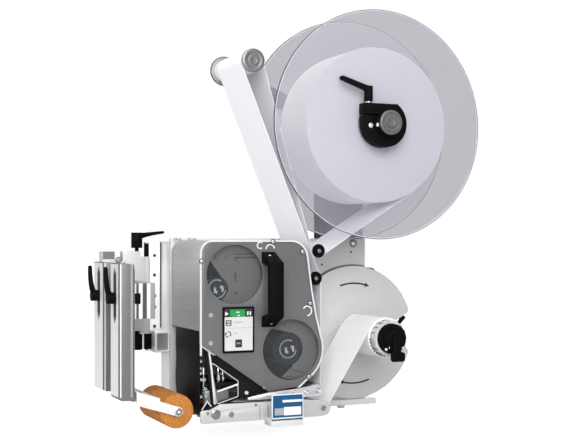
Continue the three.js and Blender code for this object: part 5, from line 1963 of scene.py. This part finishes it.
    def _icons(self, x0: float, z0: float, ink: Span, over: Span) -> list[Part]:
        """Plain signs on the screen: a panel, grey lines, a turning pair of arrows, a key.

        Args:
            x0: The display's left side.
            z0: The display's underside.
            ink: The depth of the signs.
            over: The depth of what lies on a sign.

        Returns:
            The signs with their finishes.
        """
        x, z = x0 + 9.8, z0 + 50.6
        dark = [mark((x + dx, x + dx + 1.6), ink, (z - 4.8, z + 4.8)) for dx in (-5.0, 3.4)]
        dark += [mark((x - 5.0, x + 5.0), ink, (z + dz, z + dz + 1.2)) for dz in (-4.8, -1.6, 1.0, 3.6)]
        grey = [
            mark((x0 + 18.6, x0 + 18.6 + length), ink, (z0 + dz, z0 + dz + 1.3))
            for dz, length in ((51.0, 17.0), (32.6, 6.0))
        ]
        grey.append(mark((x0 + 4.0, x0 + 52.0), ink, (z0 + 41.6, z0 + 42.1)))
        at = (x0 + 9.0, z0 + 31.6)
        for start in (100.0, 280.0):
            end = start - 110
            inner, outer = (on_circle(at, r, end) for r in (2.4, 6.8))
            dark.append(band(arc(at, 4.6, start, end, 8), 1.5, ink))
            dark.append(decal([inner, on_circle(at, 4.6, start - 150), outer], ink))
        dark.append(decal(rounded_box((x0 + 21.6, x0 + 33.8), (z0 + 9.0, z0 + 22.4), 1.4), ink))
        for dx in (24.2, 26.6, 29.0):
            grey.append(mark((x0 + dx, x0 + dx + 1.6), over, (z0 + 14.6, z0 + 17.4)))
        return [*painted(Finishes.SCREEN_DARK, *dark), *painted(Finishes.SCREEN_GREY, *grey)]

    def _spool(self, node: str, place: Circle) -> None:
        """A ribbon spool: rolled film, and a hub with a light ring and two arrows.

        Args:
            node: The node it stands for.
            place: Its axis and radius.
        """
        f = Finishes
        x, z, r = place
        at = (x, z)
        face, back = self.hub_front, -18.4
        y0, y1 = self.film
        film = lathe([(y0, 15.5), (y0, r - 0.4), (y0 + 0.4, r), (y1, r), (y1, 15.5)], at, sides=64)
        profile = [(face, 0.0), (face, 16.0), (face + 0.6, 16.5), (back, 16.5), (back, 5.6)]
        light = [*arc(at, 16.4, 60, 350, 40), *arc(at, 14.2, 350, 60, 40)]
        curls = [self._curl((x + 3.0, z - 1.0), start) for start in (150.0, -30.0)]
        parts: list[Part] = [
            (film, f.RIBBON),
            (lathe(profile, at), f.RIBBON_CORE),
            (decal(light, (face - 0.3, face + 0.1)), f.MARK_BLUE),
            *painted(f.MARK_WHITE, *curls),
        ]
        self.shop.stand_in(node, "wound", parts)

    def _curl(self, centre: Point, start: float) -> Shape:
        """A short fat arrow that bends round a hub.

        Args:
            centre: What it bends round.
            start: Its first angle in degrees.

        Returns:
            The arrow.
        """
        end, face = start + 60, self.hub_front
        inner = arc(centre, 5.0, start, end, 6)
        outer = arc(centre, 9.0, end, start, 6)
        barbs = [on_circle(centre, r, end) for r in (3.2, 11.0)]
        tip = on_circle(centre, 7.2, start + 100)
        return decal([*inner, barbs[0], tip, barbs[1], *outer], (face - 0.4, face + 0.1))

    def _lining(self) -> None:
        """The grey plates behind the windows, each open round its spool, and their marks."""
        ink = self.lining_ink
        x, z, _ = self.supply
        opening = arc((x, z), 20.8, 61, -65, 14)
        upper = [*self.upper_lining_left, *opening, *self.upper_lining_right]
        x, z, _ = self.takeup
        opening = arc((x, z), 28.8, 90, -70, 18)
        lower = [*self.lower_lining_left, *opening, *self.lower_lining_right]
        marks = [mark(x, ink, z) for x, z in self.lining_bars]
        marks += [band(stroke, 1.6, ink) for stroke in self.lining_strokes]
        marks += [pin(ink, 2.0, at) for at in self.lining_dots]
        plates = [decal(plate, self.lining_depth) for plate in (upper, lower)]
        parts = painted(Finishes.LINING, *plates) + painted(Finishes.LINING_MARK, *marks)
        self.shop.piece("cassette_lining", parts, "cassette_frame")


@dataclass
class HeadArea(Assembly):
    """Print head, bracket, the two web arms, sensor block, sign and the small parts between."""

    front: float = -157.0
    sensor_shadow: Box = ((-225.6, -168.4), (-188.4, -187.9), (10.4, 12.8))
    bracket_hole: tuple[Place, ...] = (
        (-321.6, 110.0, 3.0),
        (-273.3, 76.0, 3.0),
        (-273.3, 50.6, 3.0),
        (-310.4, 40.0, 3.0),
    )
    bracket_edge: tuple[Place, ...] = (
        (-322.8, 112.2, 3.6),
        (-272.1, 76.6, 3.6),
        (-272.1, 49.6, 3.6),
        (-311.2, 38.6, 3.6),
    )
    bracket_highlight: Span = (-153.2, -152.5)
    sign: Box = ((-226.0, -168.0), (-190.0, -188.4), (14.0, 55.0))
    sign_bar: tuple[Span, Span] = ((-206.6, -171.0), (41.0, 45.0))
    sign_field: tuple[Span, Span] = ((-204.0, -172.3), (19.0, 33.0))
    sign_box: tuple[Span, Span] = ((-220.9, -204.6), (19.8, 31.6))
    arm_screws: Outline = ((-124.3, 53.3), (-146.8, 51.4), (-171.1, 53.8))
    journal_screw: Point = (-313.8, 22.5)
    arm_bolts: Outline = ((-286.3, 20.9), (-114.7, 22.3))
    arm_dots: Outline = ((-242.0, 34.5), (-328.4, 25.2))
    arm_seams: Span = (-234.8, -219.7)
    seam_height: Span = (10.5, 33.0)
    bracket_screw: Place = (-256.9, -152.7, 55.5)
    cover_screw: Place = (-225.8, -157.2, 62.9)
    near: Span = (-156.0, -153.4)
    behind: Span = (-152.6, -150.6)
    # Strips along paths, with width, depth and finish: the pale ones are bars, the white ones painted
    # highlight along edges seen through the bracket's opening, the shaded one painted shade.
    strips: tuple[tuple[Outline, float, Span, Finish], ...] = (
        (((-325.5, 130.8), (-320.8, 95.9), (-315.1, 39.4)), 2.9, near, Finishes.ANODISED_PALE),
        (
            ((-320.8, 111.5), (-294.7, 92.4), (-274.1, 79.3), (-271.1, 73.2)),
            1.7,
            behind,
            Finishes.WHITE_PAINT,
        ),
        (((-271.5, 70.8), (-309.3, 60.0)), 2.9, behind, Finishes.WHITE_PAINT),
        (((-270.8, 70.7), (-270.2, 47.7)), 2.0, behind, Finishes.ANODISED_SHADED),
        (((-337.8, 31.1), (-329.6, 43.8)), 1.6, near, Finishes.ANODISED_PALE),
        (((-329.6, 46.2), (-321.4, 36.1)), 1.6, near, Finishes.ANODISED_PALE),
    )
    lever: Outline = ((-317.0, 82.5), (-314.6, 82.5), (-304.9, 30.0), (-315.7, 30.0))
    lever_depth: Span = (-150.0, -147.0)
    shaded_block: Box = ((-309.3, -297.2), (-146.0, -120.0), (38.4, 58.2))
    pale_block: Box = ((-295.3, -290.5), (-148.0, -120.0), (46.5, 58.0))
    pins: Outline = (
        (-338.4, 112.2),
        (-339.1, 100.3),
        (-338.4, 91.9),
        (-336.6, 81.1),
        (-331.5, 80.9),
        (-329.6, 65.3),
        (-337.8, 52.6),
        (-329.0, 53.3),
    )
    pin_profile: Outline = ((-151.0, 0.0), (-150.4, 2.6), (-146.0, 2.6))
    rods: tuple[tuple[Place, Place, float], ...] = (
        ((-330.0, -140.0, 100.0), (-330.0, -140.0, 45.0), 2.6),
        ((-300.0, -130.0, 62.0), (-300.0, -130.0, 100.0), 4.6),
        ((-288.0, -120.0, 62.0), (-288.0, -120.0, 92.0), 5.0),
    )
    carriage: Box = ((-330.0, -268.0), (-144.0, -30.0), (64.0, 74.0))

    def build(self) -> None:
        """Builds the pieces of the head area."""
        f = Finishes
        # A band of painted highlight round the edge of the bracket's opening.
        hole, edge = rounded(self.bracket_hole), rounded(self.bracket_edge)
        hole_highlight = prism(edge, self.bracket_highlight, edge=0.0, holes=[hole])
        self.shop.dress("printhead_bracket", f.BLACK_STEEL, 0.3, [(hole_highlight, f.ANODISED_PALE)])
        self.shop.dress("printhead", f.DULL_STEEL, 0.5)
        self.shop.dress("lower_web_arm", f.BRUSHED_X, 0.5)
        self.shop.dress("upper_web_arm", f.ANODISED, 0.5)
        # A line of painted shadow under the sign, on the sensor block's face.
        line = mark(*self.sensor_shadow)
        self.shop.dress("sensor_block", f.ANODISED_PALE, 0.6, [(line, f.SLOT_SHADE)])
        self._sign()
        self._screws()
        self._links()

    def _sign(self) -> None:
        """The blue sign, bare but for its white border, a thin bar and a white field below."""
        f = Finishes
        (x0, x1), (y0, _), (z0, z1) = self.sign
        blue = mark((x0 + 1.8, x1 - 1.7), (y0 - 0.25, y0 + 0.2), (z0 + 1.8, z1 - 1.8))
        fields = [mark(x, (y0 - 0.45, y0), z) for x, z in (self.sign_bar, self.sign_field, self.sign_box)]
        parts = [
            (block(*self.sign), f.SIGN_WHITE),
            (blue, f.SIGN_BLUE),
            *painted(f.SIGN_WHITE, *fields[:2]),
            (fields[2], f.SCREEN_GREY),
        ]
        self.shop.piece("sign_printed", parts, "sign_plate", ("sign_plate",))

    def _screws(self) -> None:
        """Screws of the arms, the bracket and the cover's edge."""
        f = Finishes
        y = self.front
        arm = "lower_web_arm"
        for name, places, node, size, finish in (
            ("arm_screws", self.arm_screws, "upper_web_arm", (3.2, 1.6), f.POLISHED),
            ("journal_screw", [self.journal_screw], arm, (8.4, 2.2), f.ZINC),
            ("lower_arm_bolts", self.arm_bolts, arm, (4.8, 2.0), f.ZINC),
            ("lower_arm_screws", self.arm_dots, arm, (2.4, 1.2), f.ZINC),
        ):
            heads = [(x, y, z) for x, z in places]
            self.shop.screws(name, heads, node, *size, finish)
        seams = [mark((x, x + 0.8), (y - 0.2, y + 0.1), self.seam_height) for x in self.arm_seams]
        self.shop.piece("lower_arm_seams", painted(f.SLOT_SHADE, *seams), arm)
        for name, place, node, size, finish in (
            ("bracket_screw", self.bracket_screw, "printhead_bracket", (3.6, 1.8), f.ANODISED),
            ("cover_edge_screw", self.cover_screw, "cassette_cover", (3.2, 1.6), f.ZINC),
        ):
            self.shop.screws(name, [place], node, *size, finish)

    def _links(self) -> None:
        """Levers, rods and springs between the guard and the bracket, and strips of painted highlight and
        shade along edges seen through its opening.
        """
        f = Finishes
        parts: list[Part] = [(band(path, t, y), finish) for path, t, y, finish in self.strips]
        lever = prism(self.lever, self.lever_depth)
        parts += painted(f.ANODISED_SHADED, lever, block(*self.shaded_block))
        parts.append((block(*self.pale_block), f.ANODISED_PALE))
        parts += painted(f.POLISHED, *[lathe(self.pin_profile, at, sides=20) for at in self.pins])
        rods = [rod(Vector(start), Vector(end), radius) for start, end, radius in self.rods]
        parts += [*painted(f.POLISHED, *rods), (block(*self.carriage, 0.8), f.BLACK_STEEL)]
        self.shop.piece("head_links", parts, "printhead")


@dataclass
class Applicator(Assembly):
    """Hinge, carrier, beam, posts, clamps, fork and foam roller on the left."""

    post_left: float = -479.4
    post_shading_bands: tuple[tuple[float, float, Finish], ...] = (
        (-479.0, -478.2, Finishes.SLOT_SHADE),
        (-478.2, -476.0, Finishes.WHITE_PAINT),
        (-460.6, -456.6, Finishes.ANODISED_HALF_SHADED),
        (-455.9, -454.6, Finishes.SLOT_SHADE),
    )
    slot_height: Span = (189.0, 257.5)
    slot_point: float = 13.0
    slot_halves: Span = (9.5, 6.5)
    beam_front: float = -150.3
    beam_floor: float = -147.3
    beam_height: Span = (186.0, 243.8)
    beam_lit_bands: tuple[tuple[float, float, Finish], ...] = (
        (-452.9, -449.4, Finishes.ANODISED_PALE),
        (-444.6, -439.0, Finishes.WHITE_PAINT),
        (-431.0, -425.6, Finishes.WHITE_PAINT),
    )
    beam_grooves: tuple[Span, ...] = ((-449.1, -445.9), (-437.9, -431.9))
    beam_plug: Box = ((-452.0, -442.2), (-151.6, -146.8), (210.4, 227.6))
    carrier_top_shade: Box = ((-464.0, -442.8), (10.1, 10.6), (281.0, 294.3))
    carrier_groove_shade: Box = ((-427.0, -424.0), (10.1, 10.6), (154.0, 276.0))
    carrier_bolt: Point = (-436.0, 279.5)
    roller: Circle = (-379.2, 30.7, 28.6)
    roller_span: Span = (-150.0, -17.5)
    roller_bore: float = 4.6

    def build(self) -> None:
        """Builds the applicator's pieces."""
        f = Finishes
        dress = self.shop.dress
        for node in ("hinge_knuckle_top", "hinge_knuckle_bottom"):
            dress(node, f.NYLON, 0.8)
        dress("hinge_pin", f.POLISHED, 0.4)
        dress("hinge_carrier", f.SATIN, 0.6, self._carrier_trim())
        # The beam in the half-shaded anodising, as painted shade.
        dress("carrier_profile", f.ANODISED_HALF_SHADED, 0.6, self._beam_trim())
        # The posts in the shaded anodising, as painted shade on their grey front faces.
        for node in ("front_post", "rear_post"):
            dress(node, f.ANODISED_SHADED, 1.0, self._post_trim(node))
        for node in ("front_post_lever", "rear_post_lever", "top_clamp_lever"):
            dress(node, f.NYLON, 1.4)
        dress("bottom_clamp_knob", f.NYLON, 1.0)
        dress("roller_bracket", f.WHITE_PAINT, 0.5)
        dress("roller_axle", f.POLISHED, 0.6, self._axle_end())
        self._foam()

    def _post_trim(self, node: str) -> list[Part]:
        """Painted light and shade on the post: its lit left face painted white, bands of painted highlight
        and shade down its front edges, and painted shade in its slot.

        Args:
            node: The post.

        Returns:
            The trim with its finishes.
        """
        f = Finishes
        _, (y0, y1), (bottom, top) = box_of(node)
        x = self.post_left
        z0, z1 = bottom + 8.0, top - 1.5
        middle = (y0 + y1) / 2
        face = [(y0 + 5.0, z0), (y1 - 1.5, z0), (y1 - 1.5, z1), (y0 + 5.0, z1)]
        wide, narrow = (self._slot(middle, half) for half in self.slot_halves)
        # The lit left face painted white, a rim of painted shade round the slot, and dark lines of painted
        # shade at the face's front edge and inside the slot.
        parts: list[Part] = [
            (prism(face, (x - 0.35, x + 0.2), Axis.X, 0.0, holes=[wide]), f.WHITE_PAINT),
            (prism(wide, (x - 0.2, x + 0.2), Axis.X, 0.0, holes=[narrow]), f.SLOT_SHADE),
            (mark((x - 0.3, x + 0.2), (y0 + 1.5, y0 + 4.8), (z0, z1)), f.SLOT_SHADE),
            (mark((x, x + 4.0), (middle + 6.2, middle + 6.6), self.slot_height), f.SLOT_SHADE),
        ]
        # Bands of painted highlight and shade down the post's rounded front edges.
        for left, right, finish in self.post_shading_bands:
            parts.append((mark((left, right), (y0 - 0.3, y0 + 0.1), (z0, z1)), finish))
        return parts

    def _slot(self, middle: float, half: float) -> list[Point]:
        """The outline of a post's pointed slot.

        Args:
            middle: Its middle.
            half: Half its width.

        Returns:
            The outline in Y and Z.
        """
        (low, high), point = self.slot_height, self.slot_point
        left, right = middle - half, middle + half
        slot = [(left, low), (middle, low - point), (right, low)]
        return [*slot, (right, high), (middle, high + point), (left, high)]

    def _beam_trim(self) -> list[Part]:
        """The lands of the beam's end painted pale as painted highlight, painted shade in its grooves and a
        black plug.

        Returns:
            The trim with its finishes.
        """
        z = self.beam_height
        front, floor = ((y, y + 0.4) for y in (self.beam_front, self.beam_floor))
        lit_lands = [(mark((left, right), front, z), finish) for left, right, finish in self.beam_lit_bands]
        shades = [mark(x, floor, z) for x in self.beam_grooves]
        plug = block(*self.beam_plug, 0.8)
        return [*lit_lands, *painted(Finishes.SLOT_SHADE, *shades), (plug, Finishes.NYLON)]

    def _carrier_trim(self) -> list[Part]:
        """Painted shade on the top of the carrier's flange and down a groove in its face, and a bolt in a
        ring of painted shade.

        Returns:
            The trim with its finishes.
        """
        f = Finishes
        at = self.carrier_bolt
        return [
            *painted(f.ANODISED_SHADED, mark(*self.carrier_top_shade), mark(*self.carrier_groove_shade)),
            (pin((9.0, 10.6), 5.6, at, 28), f.SLOT_SHADE),
            (pin((7.8, 9.2), 4.4, at, 28, 0.3), f.ANODISED_HALF_SHADED),
        ]

    def _axle_end(self) -> list[Part]:
        """A dark ring of painted shade and the bright centre of the axle's front end.

        Returns:
            Both with their finishes.
        """
        front = box_of("roller_axle")[1][0]
        at = self.roller[:2]
        collar = pin((front - 0.3, front + 0.1), 4.6, at, 32)
        centre = pin((front - 1.0, front - 0.1), 2.6, at, 32, 0.2)
        return [(collar, Finishes.SLOT_SHADE), (centre, Finishes.ANODISED_PALE)]

    def _foam(self) -> None:
        """The sponge roller, its rim softened."""
        x, z, r = self.roller
        (y0, y1), bore = self.roller_span, self.roller_bore
        profile = [(y0, bore), (y0, r - 2.0), (y0 + 0.6, r - 0.7), (y0 + 2.0, r), (y1 - 2.0, r)]
        profile += [(y1 - 0.6, r - 0.7), (y1, r - 2.0), (y1, bore), (y0, bore)]
        body = lathe(profile, (x, z), sides=96)
        node = "foam_roller"
        piece = self.shop.stand_in(node, "sponge", [(body, Finishes.SPONGE)])


def main() -> None:
    """Builds the machine's looks in order."""
    logging.basicConfig(level=logging.INFO, format="%(message)s")
    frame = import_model()
    scene = bpy.context.scene
    scene.view_settings.view_transform = "Standard"
    Studio().build()
    shop = Workshop(frame)
    for kind in (MachineFrame, SupplyReel, WebRollers, Rewinder, PrintModule, HeadArea, Applicator):
        LOG.info("building %s", kind.__name__)
        kind(shop).build()
    bare = sorted(n for n, o in frame["nodes"].items() if not o.hide_render)
    LOG.info("nodes still shown: %s", bare)


if __name__ == "__main__":
    main()
